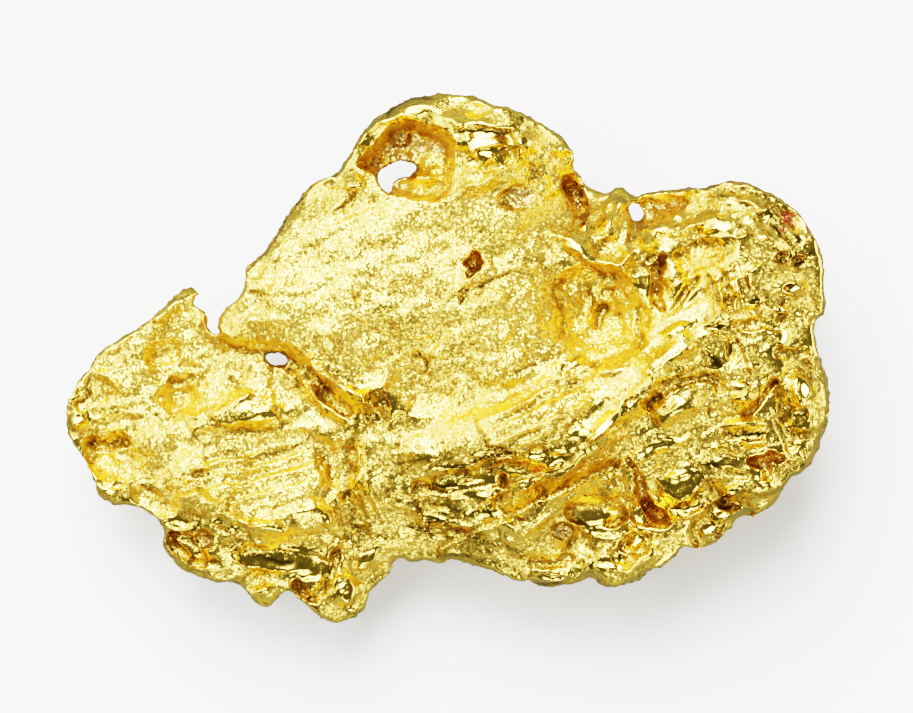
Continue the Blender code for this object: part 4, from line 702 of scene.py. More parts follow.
def smooth_loop(points, steps=4):
    """A closed Catmull-Rom curve: each span is a cubic in t that passes its two points with the slopes
    of their neighbours."""
    b = np.array(points, float)
    return cubic_spans(np.roll(b, 1, 0), b, np.roll(b, -1, 0), np.roll(b, -2, 0), steps)


def smooth_line(points, steps=4):
    """An open Catmull-Rom curve: the same cubic, its end points mirrored to give the end slopes."""
    p = np.array(points, float)
    p = np.vstack([2 * p[0] - p[1], p, 2 * p[-1] - p[-2]])
    curve = cubic_spans(p[:-3], p[1:-2], p[2:-1], p[3:], steps)
    return np.vstack([curve, p[-2]])


def cubic_spans(a, b, c, d, steps):
    """The spans from each b to its c, cut into steps."""
    t = (np.arange(steps) / steps)[None, :, None]
    a, b, c, d = (q[:, None, :] for q in (a, b, c, d))
    linear = (c - a) * t
    square = (2 * a - 5 * b + 4 * c - d) * t**2
    cube = (3 * b - a - 3 * c + d) * t**3
    return (b + 0.5 * (linear + square + cube)).reshape(-1, 2)


def nearest_on(place, curve, closed=False):
    """For each place: the way to the nearest point of the curve, its length, the side of the curve (+1
    left) and the share of the curve's length before that point."""
    ends = np.roll(curve, -1, 0) if closed else curve[1:]
    starts = curve if closed else curve[:-1]
    reach = np.full(len(place), np.inf)
    way = np.zeros_like(place)
    side = np.ones(len(place))
    share = np.zeros(len(place))
    total = np.hypot(*(ends - starts).T).sum()
    run = 0.0
    for start, end in zip(starts, ends):
        length = math.hypot(*(end - start))
        along = (end - start) / max(length, 1e-9)
        offset = place - start
        t = np.clip(offset @ along, 0.0, length)
        gap = t[:, None] * along - offset
        distance = np.hypot(*gap.T)
        closer = distance < reach
        reach = np.where(closer, distance, reach)
        way = np.where(closer[:, None], gap, way)
        turn = along[0] * offset[:, 1] - along[1] * offset[:, 0]
        side = np.where(closer, np.where(turn < 0, -1.0, 1.0), side)
        share = np.where(closer, (run + t) / total, share)
        run += length
    return way, reach, side, share


def inside(place, loop):
    """True where a place is inside the closed loop, by counting the crossings to its left."""
    crossings = np.zeros(len(place), int)
    x, y = place.T
    for (ax, ay), (bx, by) in zip(loop, np.roll(loop, -1, 0)):
        if ay != by:
            spans = (ay > y) != (by > y)
            crossings += spans & (x < (bx - ax) * (y - ay) / (by - ay) + ax)
    return crossings % 2 == 1


def smooth_step(t):
    """0 to 1 with level ends: 3t squared minus 2t cubed."""
    t = np.clip(t, 0.0, 1.0)
    return t * t * (3 - 2 * t)


def dome(radius, power=1.1):
    """A round crown: 1 minus the radius squared, to a power, so that its foot is steep."""
    return np.clip(1 - radius**2, 0, 1) ** power


def roof(radius):
    """A crest with straight flanks, its top a little rounded, mixed with a dome."""
    straight = np.clip(1.12 - np.sqrt(radius**2 + 0.0144), 0, 1)
    return 0.6 * straight + 0.4 * dome(radius)


def through_levels(place, levels):
    """A thin plate bent through the levels: a plane plus a weighted r squared log r from each."""
    table = np.array(levels, float)
    knots, heights = table[:, :2], table[:, 2]
    count = len(table)
    plane = np.column_stack([np.ones(count), knots])
    system = np.zeros((count + 3, count + 3))
    system[:count, :count] = plate_kernel(knots, knots) + 0.02 * np.eye(count)
    system[:count, count:] = plane
    system[count:, :count] = plane.T
    weights = np.linalg.solve(system, np.concatenate([heights, np.zeros(3)]))
    height = weights[count] + place @ weights[count + 1:]
    for knot, weight in zip(knots, weights[:count]):
        square = ((place - knot) ** 2).sum(1) + 1e-9
        height += weight * 0.5 * square * np.log(square)
    return height


def plate_kernel(a, b):
    """The thin plate's r squared log r between two sets of points."""
    square = ((a[:, None, :] - b[None, :, :]) ** 2).sum(2) + 1e-9
    return 0.5 * square * np.log(square)


def beside(place, points, margin, closed=False):
    """The smooth curve through the points, the numbers of the places near it, and for each of those the
    distance, the side and the share of the curve's length before its nearest point."""
    curve = smooth_loop(points) if closed else smooth_line(points)
    near = window(place, curve.min(0), curve.max(0), margin)
    _, distance, side, share = nearest_on(place[near], curve, closed)
    return curve, near, distance, side, share


def end_fade(share, at_ends=0.14):
    """1 along a line, falling to 0 at its two ends."""
    return smooth_step(share / at_ends) * smooth_step((1 - share) / at_ends)


def oval_radius(place, x, y, length, width, turn):
    """Distance from an oval's centre, 1 at its edge."""
    c, s = math.cos(math.radians(turn)), math.sin(math.radians(turn))
    dx, dy = place[:, 0] - x, place[:, 1] - y
    return np.hypot((dx * c + dy * s) / length, (dy * c - dx * s) / width)


def window(place, low, high, margin):
    """The numbers of the places in a box with a margin round it."""
    low = np.asarray(low) - margin
    high = np.asarray(high) + margin
    return np.flatnonzero(((place > low) & (place < high)).all(1))


def corner_hash(at, seed):
    """A repeatable scramble of whole-number corners into 32 bits."""
    mix = at[:, 0] * 374761393 + at[:, 1] * 668265263 + at[:, 2] * 1274126177 + seed * 974634777
    mix = ((mix & 0xFFFFFFFF) ^ ((mix & 0xFFFFFFFF) >> 13)) * 1274126177 & 0xFFFFFFFF
    return mix ^ (mix >> 16)


def cell_noise(points, size, seed):
    """Smooth noise from about -1 to 1: slopes from a hash of each lattice corner, eased together."""
    scaled = points / size
    corner = np.floor(scaled)
    part = scaled - corner
    corner = corner.astype(np.int64)
    ease = part**3 * (part * (part * 6 - 15) + 10)
    total = np.zeros(len(points))
    for step in np.ndindex(2, 2, 2):
        mix = corner_hash(corner + step, seed)
        slope = np.column_stack([mix & 1023, (mix >> 10) & 1023, (mix >> 20) & 1023]) / 511.5 - 1
        weight = np.prod(np.where(np.array(step) == 1, ease, 1 - ease), axis=1)
        total += weight * (slope * (part - step)).sum(1)
    return 1.4 * total


def fractal(points, size, seed, octaves=3, gain=0.5):
    """Noise with finer noise on it, each octave half the size and gain times the height."""
    total = np.zeros(len(points))
    height = 1.0
    for octave in range(octaves):
        total += height * cell_noise(points, size, seed + octave)
        size *= 0.5
        height *= gain
    return total


def folds(points, size, seed, octaves=2):
    """Sharp-crested noise: 1 minus its own size, so that the zero lines stand up as ridges."""
    total = np.zeros(len(points))
    height = 1.0
    for octave in range(octaves):
        total += height * (1 - 2.2 * np.abs(cell_noise(points, size, seed + octave)))
        size *= 0.55
        height *= 0.5
    return total


def tiles(place, size, seed, lean, bow, turn=0.0, stretch=1.0, tip=(0.0, 0.0)):
    """Crumpled tiles, one to a cell: each a shallow cap with its own lean, the highest one showing, so
    that they meet in sharp creases. They can be turned and drawn out along the turn, and all tipped."""
    c, s = math.cos(math.radians(turn)), math.sin(math.radians(turn))
    along = (place[:, 0] * c + place[:, 1] * s) / (size * stretch)
    across = (place[:, 1] * c - place[:, 0] * s) / size
    at = np.column_stack([along, across])
    corner = np.floor(at).astype(np.int64)
    highest = np.full(len(place), -9.0)
    for step in np.ndindex(3, 3):
        cell = corner + step - 1
        mix = corner_hash(np.column_stack([cell, np.zeros(len(place), np.int64)]), seed)
        share = np.stack([mix & 255, (mix >> 8) & 255, (mix >> 16) & 255, (mix >> 24) & 255]) / 255.0
        dx = at[:, 0] - cell[:, 0] - share[0]
        dy = at[:, 1] - cell[:, 1] - share[1]
        plane = (lean * (2 * share[2] - 1) + tip[0]) * dx + (lean * (2 * share[3] - 1) + tip[1]) * dy
        highest = np.maximum(highest, plane - bow * (dx * dx + dy * dy))
    return size * highest


def bent(place):
    """Places shifted by noise, so that lines and ovals read at them come out crooked."""
    flat = at_height(place, 5)
    across = 0.06 * cell_noise(flat, 0.5, 71) + 0.04 * cell_noise(flat, 0.2, 73)
    along = 0.06 * cell_noise(flat, 0.5, 75) + 0.04 * cell_noise(flat, 0.2, 77)
    return place + np.column_stack([across, along])


def within(place, ovals):
    """1 inside any of the ovals, fading to 0 over a third of their size outside."""
    share = np.zeros(len(place))
    for x, y, length, width, turn in ovals:
        share = np.maximum(share, smooth_step(3 * (1.33 - oval_radius(place, x, y, length, width, turn))))
    return share


def at_height(place, height):
    """Places in the plane given a third coordinate, so that solid noise can be read there."""
    return np.column_stack([place, np.full(len(place), float(height))])


def tile_layers(place, table):
    """The sum of several layers of tiles, each times its share."""
    return sum(share * tiles(place, *layer) for share, *layer in table)


def crumple(place):
    """Tiles of several sizes: low and lying every way on the calm plates, high and drawn out along the
    strata elsewhere, where fine furrows run the same way in patches. On the bright places they all tip
    one way, and on the worn places they almost vanish."""
    strata = tile_layers(place, STRATA_TILES) + 0.03 * streaks(place, 0.9, 0.2, 28, 107)
    quiet = tile_layers(place, QUIET_TILES) + 0.05 * cell_noise(at_height(place, 0), 0.7, 115)
    bright = within(place, BRIGHT_PLACES)
    shingles = tiles(place, 0.4, 117, 0.12, 0.2, tip=SHINGLE_TIP)
    height = strata + within(place, CALM_PLATES) * (quiet - strata)
    return (height + bright * (shingles - 0.6 * height)) * (1 - 0.75 * within(place, WORN_PLACES))


def with_facets(place, height):
    """Planes worn into the height: in each facet's oval the best plane through the height gives way to
    one through the same middle with the facet's own slope, and a share of the roughness stays."""
    wavy = bent(place)
    for ovals, slope in ((LEVEL_FACETS, LEVEL_TILT), (TIPPED_FACETS, TIPPED_TILT)):
        for x, y, length, width, turn in ovals:
            near = window(place, (x, y), (x, y), 1.1 * max(length, width))
            share = smooth_step(1.4 * (1.15 - oval_radius(wavy[near], x, y, length, width, turn)))
            offset = place[near] - (x, y)
            terms = np.column_stack([np.ones(len(offset)), offset])
            best = np.linalg.lstsq(terms * share[:, None], height[near] * share, rcond=None)[0]
            roughness = height[near] - terms @ best
            worn = best[0] + offset @ slope + FACET_KEEP * roughness
            height[near] += share * np.clip(worn - height[near], -FACET_DEPTH, FACET_DEPTH)
    return height


def streaks(place, length, width, turn, seed):
    """Noise drawn out along a turn in degrees: its cells are length long and width wide."""
    c, s = math.cos(math.radians(turn)), math.sin(math.radians(turn))
    along = (place[:, 0] * c + place[:, 1] * s) / length
    across = (place[:, 1] * c - place[:, 0] * s) / width
    return cell_noise(np.column_stack([along, across, np.full(len(place), 7.5)]), 1.0, seed)


def relief(place):
    """The height that ledges, ridges, lumps, hollows, creases, dents, pits and grooves add."""
    place = bent(place)
    height = np.zeros(len(place))
    uneven = fractal(at_height(place, 3), 0.4, 91, 2)
    for points, rise, reach, step in MAIN_LEDGES + FINE_LEDGES:
        _, near, distance, side, share = beside(place, points, 2 * reach)
        drop = smooth_step(distance / (STEP_SPREAD * step)) * np.exp(-(distance / reach) ** 2)
        height[near] += 0.5 * LEDGE_SHARE * rise * side * drop * end_fade(share, 0.2)
    for points, width, crest in MAIN_RIDGES + FINE_RIDGES:
        _, near, distance, _, share = beside(place, points, width)
        height[near] += RIDGE_SHARE * crest * roof(distance / width) * end_fade(share)
    for x, y, length, width, turn, crest in MAIN_LUMPS + FINE_LUMPS:
        near = window(place, (x, y), (x, y), max(length, width))
        height[near] += LUMP_SHARE * crest * dome(oval_radius(place[near], x, y, length, width, turn))
    for x, y, length, width, turn, depth in DENTS:
        near = window(place, (x, y), (x, y), 1.2 * max(length, width))
        height[near] -= depth * smooth_step(1.15 - oval_radius(place[near], x, y, length, width, turn))
    for points, width, depth in MAIN_CREASES + FINE_CREASES:
        _, near, distance, _, share = beside(place, points, width)
        height[near] -= CREASE_SHARE * depth * np.clip(1 - distance / width, 0, 1) * end_fade(share)
    for x, y, length, width, turn, depth in PITS:
        near = window(place, (x, y), (x, y), 1.3 * max(length, width))
        ragged = oval_radius(place[near], x, y, length, width, turn) * (1 + 0.6 * uneven[near])
        height[near] -= PIT_SHARE * depth * dome(ragged)
    for points, depth, wall in HOLLOWS:
        loop, near, distance, _, _ = beside(place, points, 0.1, closed=True)
        floor = 1 + 0.2 * uneven[near]
        height[near] -= depth * floor * smooth_step(distance / wall) * inside(place[near], loop)
    height += grooves(place)
    return height


def grooves(place):
    """Rows of furrows: a rounded saw along the cross direction, bent by noise and faded to the patch's
    oval edge."""
    height = np.zeros(len(place))
    flat = at_height(place, 0)
    bend = cell_noise(flat, 0.9, 41)
    rough = cell_noise(flat, 0.5, 43)
    for x, y, length, width, turn, spacing, depth in GROOVES:
        near = window(place, (x, y), (x, y), max(length, width))
        c, s = math.cos(math.radians(turn)), math.sin(math.radians(turn))
        across = (place[near, 1] - y) * c - (place[near, 0] - x) * s
        phase = across / spacing + 0.55 * bend[near]
        saw = phase - np.floor(phase)
        profile = smooth_step(saw / 0.75) - smooth_step((saw - 0.75) / 0.25)
        fade = smooth_step(2.2 * (1 - oval_radius(place[near], x, y, length, width, turn)))
        height[near] += depth * (profile - 0.5) * fade * (1 + rough[near])
    return height


def rim_of(place):
    """The unit way outward to the nearest edge and the distance in from it, below 0 off the metal."""
    reach = np.full(len(place), np.inf)
    outward = np.zeros_like(place)
    for points, is_hole in [(OUTLINE, False)] + [(hole, True) for hole in HOLES]:
        loop = smooth_loop(points)
        way, distance, _, _ = nearest_on(place, loop, closed=True)
        off_metal = inside(place, loop) == is_hole
        unit = way / np.maximum(distance, 1e-6)[:, None]
        unit = np.where(off_metal[:, None], -unit, unit)
        signed = np.where(off_metal, -distance, distance)
        closer = signed < reach
        reach = np.where(closer, signed, reach)
        outward = np.where(closer[:, None], unit, outward)
    return outward, reach


def grid_cells():
    """A square grid over the outline: its nodes, and the cells whose four nodes all lie on the metal."""
    edge = smooth_loop(OUTLINE)
    low, high = edge.min(0) - GRID_STEP, edge.max(0) + GRID_STEP
    across = np.arange(low[0], high[0] + GRID_STEP, GRID_STEP)
    down = np.arange(low[1], high[1] + GRID_STEP, GRID_STEP)
    x, y = np.meshgrid(across, down)
    place = np.column_stack([x.ravel(), y.ravel()])
    outward, distance = rim_of(place)
    on_metal = (distance > -0.5 * GRID_STEP).reshape(x.shape)
    cells = on_metal[:-1, :-1] & on_metal[:-1, 1:] & on_metal[1:, :-1] & on_metal[1:, 1:]
    cells = without_pinches(cells)
    return place, outward, distance, cells


def without_pinches(cells):
    """Fill the cells at nodes where the metal would meet itself at a corner only."""
    for _ in range(4):
        a, b = cells[:-1, :-1], cells[:-1, 1:]
        c, d = cells[1:, :-1], cells[1:, 1:]
        rising = a & d & ~b & ~c
        falling = b & c & ~a & ~d
        cells = cells.copy()
        cells[:-1, 1:] |= rising
        cells[:-1, :-1] |= falling
    return cells


def quarter_round(distance, radius):
    """How far a round edge has dropped: the radius at the edge itself, 0 from a radius inward on."""
    inward = np.clip(1 - distance / radius, 0, 1)
    return radius * (1 - np.sqrt(1 - inward**2))


def skin():
    """The nugget's skin as points and quads: an upper face, an under face and the flank between them.

    The faces stand on the same grid nodes. Near the edge a node moves inward by the flank's bulge, the
    upper face drops by a quarter round, and the under face rises by a wider one. The flank's rows run
    from one border to the other and swell outward by half a sine.
    """
    place, outward, distance, cells = grid_cells()
    rows, columns = cells.shape
    node = np.arange((rows + 1) * (columns + 1)).reshape(rows + 1, columns + 1)
    quads = np.stack([node[:-1, :-1], node[:-1, 1:], node[1:, 1:], node[1:, :-1]], -1)[cells]
    around = np.bincount(quads.ravel(), minlength=node.size)
    used = np.flatnonzero(around)
    border = (around < 4)[used]
    renumber = np.full(node.size, -1)
    renumber[used] = np.arange(len(used))
    quads = renumber[quads]

    place, outward, distance = place[used], outward[used], distance[used]
    inward = np.where(border, 0.0, np.maximum(distance, 0.0))
    uneven = cell_noise(at_height(place, 0), 0.8, 61)
    rolled = within(place, ROLLED_RIMS)
    bulge = FLANK_BULGE * (1 + 0.8 * uneven) * (1 + ROLLED_BULGE * rolled)
    moved = inward + bulge * (1 - smooth_step(inward / BULGE_REACH))
    place = place + outward * (distance - moved)[:, None]
    radius = (RIM_RADIUS + (ROLLED_RADIUS - RIM_RADIUS) * rolled) * (1 + 0.5 * uneven)

    feet = [(x, y, FOOT_DEPTH) for x, y in FEET]
    lower = through_levels(place, LOWER_LEVELS + feet)
    top_points = at_height(place, 2)
    low_points = at_height(place, -2)
    lower += 0.25 * cell_noise(low_points, 0.95, 3) + 0.11 * cell_noise(low_points, 0.42, 5)
    top = through_levels(place, UPPER_LEVELS) + 0.06 * cell_noise(top_points, 0.95, 3)
    top = with_facets(place, top + relief(place) + crumple(bent(place))) - quarter_round(inward, radius)
    top = np.maximum(top, lower + THINNEST)
    tuck = quarter_round(inward, UNDER_RADIUS) / UNDER_RADIUS
    bottom = lower + TUCK_SHARE * np.minimum(top - lower, TUCK_LIMIT) * tuck

    count = len(used)
    rim = np.flatnonzero(border)
    position = np.full(count, -1)
    position[rim] = np.arange(len(rim))
    share = (np.arange(1, FLANK_ROWS + 1) / (FLANK_ROWS + 1))[:, None]
    swell = (bulge[rim] * np.sin(np.pi * share))[:, :, None]
    flank_place = place[rim][None] + outward[rim][None] * swell
    flank_height = top[rim][None] + (bottom - top)[rim][None] * share
    flank = np.concatenate([flank_place, flank_height[:, :, None]], 2)
    upper_face, under_face = np.column_stack([place, top]), np.column_stack([place, bottom])
    points = np.vstack([upper_face, under_face, flank.reshape(-1, 3)])

    edges = np.vstack([quads[:, [k, (k + 1) % 4]] for k in range(4)])
    forward = edges[:, 0] * count + edges[:, 1]
    backward = edges[:, 1] * count + edges[:, 0]
    start, end = edges[~np.isin(forward, backward)].T
    ladder = [lambda at: at]
    ladder += [lambda at, k=k: 2 * count + k * len(rim) + position[at] for k in range(FLANK_ROWS)]
    ladder += [lambda at: at + count]
    bands = [np.stack([a(end), a(start), b(start), b(end)], 1) for a, b in zip(ladder[:-1], ladder[1:])]
    faces = np.vstack([quads, quads[:, ::-1] + count] + bands)
    number = np.arange(len(points))
    hidden = ((number >= count) & (number < 2 * count)) | (number >= 2 * count + FLANK_ROWS // 2 * len(rim))
    return points, faces, ~hidden


def read_points(mesh):
    """The mesh's points as an array."""
    points = np.empty(len(mesh.vertices) * 3, np.float32)
    mesh.vertices.foreach_get("co", points)
    return points.reshape(-1, 3).astype(float)


def read_normals(mesh):
    """The mesh's point normals as an array."""
    normals = np.empty(len(mesh.vertices) * 3, np.float32)
    mesh.vertex_normals.foreach_get("vector", normals)
    return normals.reshape(-1, 3).astype(float)


def write_points(mesh, points):
    """Put the array back as the mesh's points."""
    mesh.vertices.foreach_set("co", points.astype(np.float32).ravel())
    mesh.update()


def quad_mesh(name, points, faces):
    """A mesh from point and quad arrays."""
    mesh = bpy.data.meshes.new(name)
    mesh.vertices.add(len(points))
    mesh.loops.add(faces.size)
    mesh.polygons.add(len(faces))
    mesh.vertices.foreach_set("co", points.astype(np.float32).ravel())
    mesh.loops.foreach_set("vertex_index", faces.astype(np.int32).ravel())
    mesh.polygons.foreach_set("loop_start", np.arange(0, faces.size, 4, dtype=np.int32))
    mesh.update(calc_edges=True)
    return mesh


def roughen(points, normals):
    """Push the skin along its normals: lumps and folds where it faces sideways or down, and a fine grain
    everywhere. The sideways share is 1 minus the upward normal squared."""
    flank = 1 - np.clip(normals[:, 2], 0, 1) ** 2
    coarse = FLANK_LUMPS * fractal(points, 0.8, 21, 3) + FLANK_FOLDS * folds(points, 0.5, 31, 3) + FLANK_PUSH
    push = flank * (coarse + FLANK_FINE_FOLDS * folds(points, 0.22, 53, 2))
    push += FINE_GRAIN * fractal(points, 0.26, 51, 2)
    return points + normals * push[:, None]


def standing_out(points, pairs, passes):
    """How far each point stands out of the mean of its neighbours' places, taken over several rounds."""
    count = np.bincount(pairs.ravel(), minlength=len(points)).astype(float)[:, None]
    mean = points
    for _ in range(passes):
        total = np.zeros_like(points)
        for k in range(3):
            column = mean[:, k]
            total[:, k] = np.bincount(pairs[:, 0], column[pairs[:, 1]], len(points))
            total[:, k] += np.bincount(pairs[:, 1], column[pairs[:, 0]], len(points))
        mean = total / count
    return points - mean


def in_hollows(place, hollows):
    """1 inside the hollows, rising from 0 over the width of their walls."""
    share = np.zeros(len(place))
    for points, _, wall in hollows:
        loop, near, distance, _, _ = beside(place, points, 0.1, closed=True)
        share[near] = np.maximum(share[near], smooth_step(1.5 * distance / wall) * inside(place[near], loop))
    return share


def in_creases(place):
    """Where the shade is painted: 1 on the drawn creases, fading to both sides in a bell curve, e to the
    minus distance squared, and a lesser bell on a line along the foot of every ledge."""
    share = np.zeros(len(place))
    for points, width, _ in MAIN_CREASES + FINE_CREASES:
        _, near, distance, _, along = beside(place, points, width)
        bell = np.exp(-(distance / max(0.4 * width, NARROWEST_SHADE)) ** 2)
        share[near] = np.maximum(share[near], bell * end_fade(along))
    for points, rise, _, step in MAIN_LEDGES + FINE_LEDGES:
        _, near, distance, side, along = beside(place, points, 3 * step)
        from_foot = -distance * side * np.sign(rise) - 0.7 * STEP_SPREAD * step
        bell = LEDGE_FOOT_SHADE * np.exp(-(from_foot / 0.06) ** 2)
        share[near] = np.maximum(share[near], bell * end_fade(along))
    return share


def finishes(points, normals, pairs):
    """Four shares from 0 to 1: how burnished the skin is, more on what stands out, on the facets and away
    from the frosted plates; how much ochre lies in the hollows; how much painted shade, a dark coat, lies in
    the creases, at the foot of the ledges and where the skin stays below its neighbours; and how stained it
    is."""
    place = bent(points[:, :2])
    proud = (standing_out(points, pairs, 12) * normals).sum(1)
    frosted = within(place, CALM_PLATES + FROSTED_PLACES)
    faceted = POLISH_LEVEL * within(place, LEVEL_FACETS) + POLISH_TIPPED * within(place, TIPPED_FACETS)
    flank = 1 - np.clip(normals[:, 2], 0, 1)
    patches = within(place, BRIGHT_PLACES) * (0.8 + 0.8 * fractal(points, 0.45, 151, 2))
    share = POLISH + POLISH_UNEVEN * fractal(points, 0.9, 121, 2) + POLISH_FLANK * flank
    share += POLISH_FROSTED * frosted + faceted + POLISH_BRIGHT * patches
    share += POLISH_PROUD * proud * (1 - 0.7 * frosted)
    dust = in_hollows(place, [hollow for hollow in HOLLOWS if hollow[0] is not BASIN])
    dust = dust * (0.8 + 0.4 * fractal(points, 0.4, 131, 2)) * (points[:, 2] > DUST_ABOVE)
    dust = dust * (1 - 0.8 * within(place, CLEAN_PLACES))
    low = -(standing_out(points, pairs, 2) * normals).sum(1)
    # painted shade: dark in the creases, at the ledges' feet and where the skin lies below its neighbours,
    # less on the bright places
    painted_shade = np.maximum(CREASE_SHADE * in_creases(place), LOW_PLACE_SHADE * smooth_step(45 * low - 0.45))
    painted_shade = painted_shade * (normals[:, 2] > 0.1)
    painted_shade = painted_shade * (1 - smooth_step(dust)) * (1 - 0.6 * within(place, BRIGHT_PLACES))
    stain = within(place, STAINS) * (normals[:, 2] > 0.1) * (points[:, 2] > STAIN_ABOVE)
    stain = stain * smooth_step(0.9 + fractal(points, 0.15, 141, 2))
    return smooth_step(share) * (1 - 0.8 * smooth_step(dust)), smooth_step(dust), painted_shade, stain


def make_nugget():
    """The nugget: the skin, roughened, its feet worn flat and its hidden side thinned out."""
    points, faces, is_top = skin()
    mesh = quad_mesh("nugget_skin", points, faces)
    points = roughen(points, read_normals(mesh))
    points[points[:, 2] < FOOT_BAND, 2] = 0.0
    write_points(mesh, points)
    raw = bpy.data.objects.new("nugget_raw", mesh)
    bpy.context.scene.collection.objects.link(raw)
    group = raw.vertex_groups.new(name="hidden")
    group.add(np.flatnonzero(~is_top).tolist(), 1.0, "REPLACE")
    thin = raw.modifiers.new("thin", "DECIMATE")
    thin.ratio = HIDDEN_KEEP
    thin.vertex_group = "hidden"
    thin.vertex_group_factor = 1000
    bpy.context.view_layer.update()
    graph = bpy.context.evaluated_depsgraph_get()
    final = bpy.data.meshes.new_from_object(raw.evaluated_get(graph))
    bpy.data.objects.remove(raw)
    points = read_points(final)
    points[points[:, 2] < FOOT_BAND, 2] = 0.0
    middle = 0.5 * (points.min(0) + points.max(0))
    points[:, :2] -= middle[:2]
    write_points(final, points)
    pairs = np.empty(len(final.edges) * 2, np.int32)
    final.edges.foreach_get("vertices", pairs)
    shares = finishes(points, read_normals(final), pairs.reshape(-1, 2))
    # the third share is painted shade in the creases and low places
    for name, share in zip(("polish", "dust", "painted_shade", "stain"), shares):
        finish = final.attributes.new(name, "FLOAT", "POINT")
        finish.data.foreach_set("value", share.astype(np.float32))
    write_points(final, points * MM)
    final.shade_smooth()
    piece = bpy.data.objects.new("nugget", final)
    bpy.context.scene.collection.objects.link(piece)
    return piece, middle


def add_node(tree, kind, output, inputs, **settings):
    """A node with its settings, each input set to a value or joined to a socket; gives one output."""
    node = tree.nodes.new("ShaderNode" + kind)
    for name, value in settings.items():
        setattr(node, name, value)
    for name, value in inputs.items():
        if isinstance(value, bpy.types.NodeSocket):
            tree.links.new(value, node.inputs[name])
        else:
            node.inputs[name].default_value = value
    return node.outputs[output]


def calculate(tree, operation, *values, clamp=False):
    """A Math node on sockets or numbers."""
    return add_node(tree, "Math", 0, dict(enumerate(values)), operation=operation, use_clamp=clamp)


def vectors(tree, operation, *values):
    """A Vector Math node on sockets or vectors."""
    return add_node(tree, "VectorMath", 0, dict(enumerate(values)), operation=operation)


def scaled(tree, vector, scale):
    """A vector times a number."""
    return add_node(tree, "VectorMath", 0, {0: vector, "Scale": scale}, operation="SCALE")


def eased(tree, value, start, end, from_value, to_value):
    """One value turned into another: from_value at start, to_value at end, eased between them."""
    inputs = {"Value": value, "From Min": start, "From Max": end, "To Min": from_value, "To Max": to_value}
    return add_node(tree, "MapRange", "Result", inputs, interpolation_type="SMOOTHSTEP")


def mixed(tree, share, first, second):
    """A colour between two: the first at share 0, the second at share 1."""
    return add_node(tree, "Mix", "Result", {"Factor": share, "A": first, "B": second}, data_type="RGBA")


def share_of(tree, name):
    """One of the shares written on the skin's points."""
    return add_node(tree, "Attribute", "Fac", {}, attribute_name=name)


def noise(tree, place, cells, **inputs):
    """Cloudy noise with a number of cells a millimetre."""
    return add_node(tree, "TexNoise", "Fac", {"Scale": cells, "Vector": place, **inputs})


def grains(tree, place, cells, lean):
    """Small flat grains, each leaning its own way: a random vector a cell, shortened to the lean."""
    colour = add_node(tree, "TexVoronoi", "Color", {"Scale": cells, "Vector": place})
    return scaled(tree, vectors(tree, "SUBTRACT", colour, (0.5, 0.5, 0.5)), lean)


def gold_material():
    """Frosted native gold: leaning grains of two sizes over a fine bump, smoother where burnished. The frost
    is 1 minus most of the polish. Dust, painted shade and stain are laid over the gold in that order."""
    material = bpy.data.materials.new("native_gold_surface")
    material.use_nodes = True
    tree = material.node_tree
    shader = tree.nodes["Principled BSDF"]
    shader.inputs["Metallic"].default_value = 1.0
    shader.inputs["Specular Tint"].default_value = GLANCING_TINT
    coordinates = add_node(tree, "TexCoord", "Object", {})
    place = scaled(tree, coordinates, 1 / MM)
    polish = share_of(tree, "polish")
    colour = mixed(tree, polish, FROSTED_GOLD, BURNISHED_GOLD)
    # the second coat is painted shade: near black, in the creases and low places
    for name, over in (("dust", DUST_COLOUR), ("painted_shade", CREASE_SHADE_COLOUR), ("stain", STAIN_COLOUR)):
        colour = mixed(tree, share_of(tree, name), colour, over)
    tree.links.new(colour, shader.inputs["Base Color"])

    frost = calculate(tree, "MULTIPLY_ADD", polish, FROST_LOST, 1.0)
    wobble = noise(tree, place, WOBBLE_CELLS, Detail=3.0, Roughness=0.6)
    height = calculate(tree, "MULTIPLY", wobble, WOBBLE_HEIGHT)
    normal = add_node(tree, "Bump", "Normal", {"Distance": MM, "Strength": 1.0, "Height": height})
    for cells, lean in ((SMALL_GRAINS, SMALL_LEAN), (LARGE_GRAINS, LARGE_LEAN)):
        leaning = grains(tree, place, cells, calculate(tree, "MULTIPLY", frost, lean))
        normal = vectors(tree, "ADD", normal, leaning)
    tree.links.new(vectors(tree, "NORMALIZE", normal), shader.inputs["Normal"])

    patches = noise(tree, place, PATCH_CELLS, Detail=2.0)
    rough = calculate(tree, "MULTIPLY_ADD", patches, PATCH_ROUGHNESS, ROUGHNESS)
    rough = calculate(tree, "ADD", rough, calculate(tree, "MULTIPLY", frost, FROST_ROUGHNESS))
    tree.links.new(rough, shader.inputs["Roughness"])
    return material


def make_floor():
    """The table: a wide pale sheet that glows a little, as a light table does."""
    mesh = bpy.data.meshes.new("table")
    corners = [(x * TABLE_HALF, y * TABLE_HALF, 0) for x, y in ((-1, -1), (1, -1), (1, 1), (-1, 1))]
    mesh.from_pydata(corners, [], [(0, 1, 2, 3)])
    floor = bpy.data.objects.new("table", mesh)
    bpy.context.scene.collection.objects.link(floor)
    material = bpy.data.materials.new("pale_table")
    material.use_nodes = True
    shader = material.node_tree.nodes["Principled BSDF"]
    shader.inputs["Base Color"].default_value = TABLE_COLOUR
    shader.inputs["Roughness"].default_value = 0.8
    shader.inputs["Emission Color"].default_value = TABLE_LIGHT
    shader.inputs["Emission Strength"].default_value = TABLE_LIGHT_STRENGTH
    floor.data.materials.append(material)
    floor.visible_glossy = False
    return floor


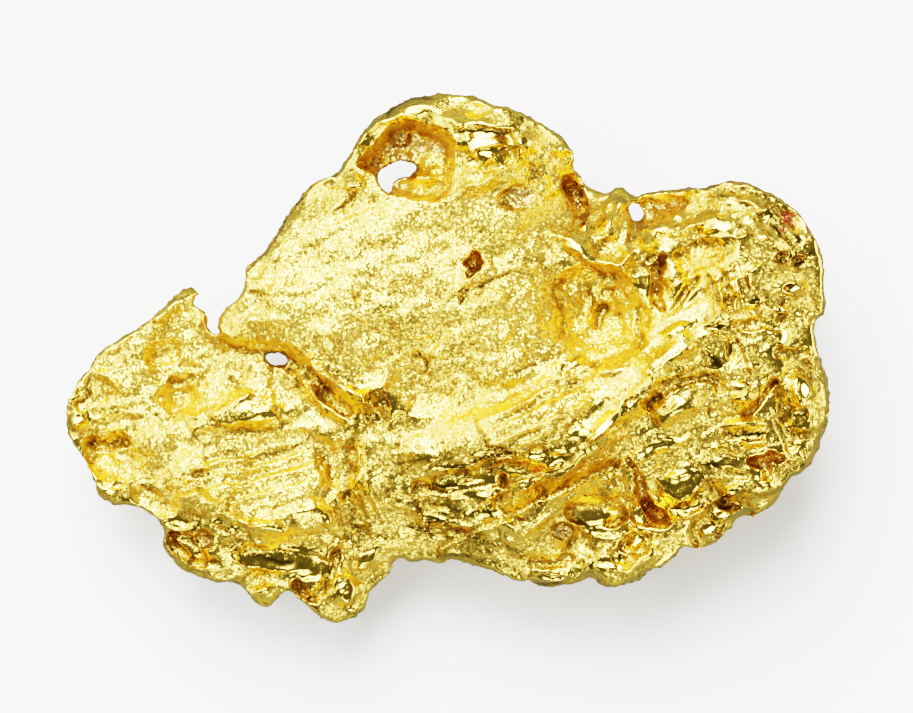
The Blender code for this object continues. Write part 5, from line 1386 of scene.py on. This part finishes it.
def make_light():
    """A dim, faintly green room with soft white panels round the table: the strength is the room's plus
    each panel's, which falls off smoothly round the way to its middle, plus the table's glow below."""
    world = bpy.data.worlds.new("studio")
    bpy.context.scene.world = world
    world.use_nodes = True
    tree = world.node_tree
    background = tree.nodes["Background"]
    coordinates = add_node(tree, "TexCoord", "Generated", {})
    total = GLOOM
    for turn, down, half, strength in PANELS:
        turn, down, half = math.radians(turn), math.radians(down), math.radians(half)
        way = (math.sin(down) * math.cos(turn), math.sin(down) * math.sin(turn), math.cos(down))
        facing = add_node(tree, "VectorMath", "Value", {0: coordinates, 1: way}, operation="DOT_PRODUCT")
        panel = eased(tree, facing, math.cos(1.5 * half), math.cos(0.5 * half), 0.0, strength)
        total = calculate(tree, "ADD", panel, total)
    upward = add_node(tree, "SeparateXYZ", "Z", {0: coordinates})
    glow = eased(tree, upward, 0.0, -0.15, 0.0, TABLE_GLOW)
    shade = eased(tree, upward, -0.1, -0.7, 1.0, TABLE_SHADE)
    total = calculate(tree, "ADD", calculate(tree, "MULTIPLY", glow, shade), total)
    tree.links.new(total, background.inputs["Strength"])
    lit = calculate(tree, "SUBTRACT", total, GLOOM, clamp=True)
    tree.links.new(mixed(tree, lit, GLOOM_TINT, WHITE), background.inputs["Color"])


def make_camera(middle):
    """A camera far above the table, looking straight down. Its lens is the sensor's width times the
    distance to the height in focus, over the width seen there."""
    camera = bpy.data.cameras.new("camera")
    camera.sensor_width = SENSOR_WIDTH
    camera.lens = SENSOR_WIDTH * (CAMERA_DISTANCE - FOCUS_HEIGHT) / (PIXELS_ACROSS / PIXELS_PER_MM)
    camera.clip_start = 0.01
    camera.clip_end = 10
    eye = bpy.data.objects.new("camera", camera)
    x, y = ((pixels / PIXELS_PER_MM - shift) * MM for pixels, shift in zip(MIDDLE_PIXELS, middle))
    eye.location = (x, y, CAMERA_DISTANCE * MM)
    bpy.context.scene.collection.objects.link(eye)
    bpy.context.scene.camera = eye


nugget, middle = make_nugget()
nugget.data.materials.clear()
nugget.data.materials.append(gold_material())
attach(nugget, "root")
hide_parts(NODE)
make_floor()
make_light()
make_camera(middle)
bpy.context.scene.view_settings.view_transform = "Filmic"
bpy.context.scene.view_settings.look = "High Contrast"
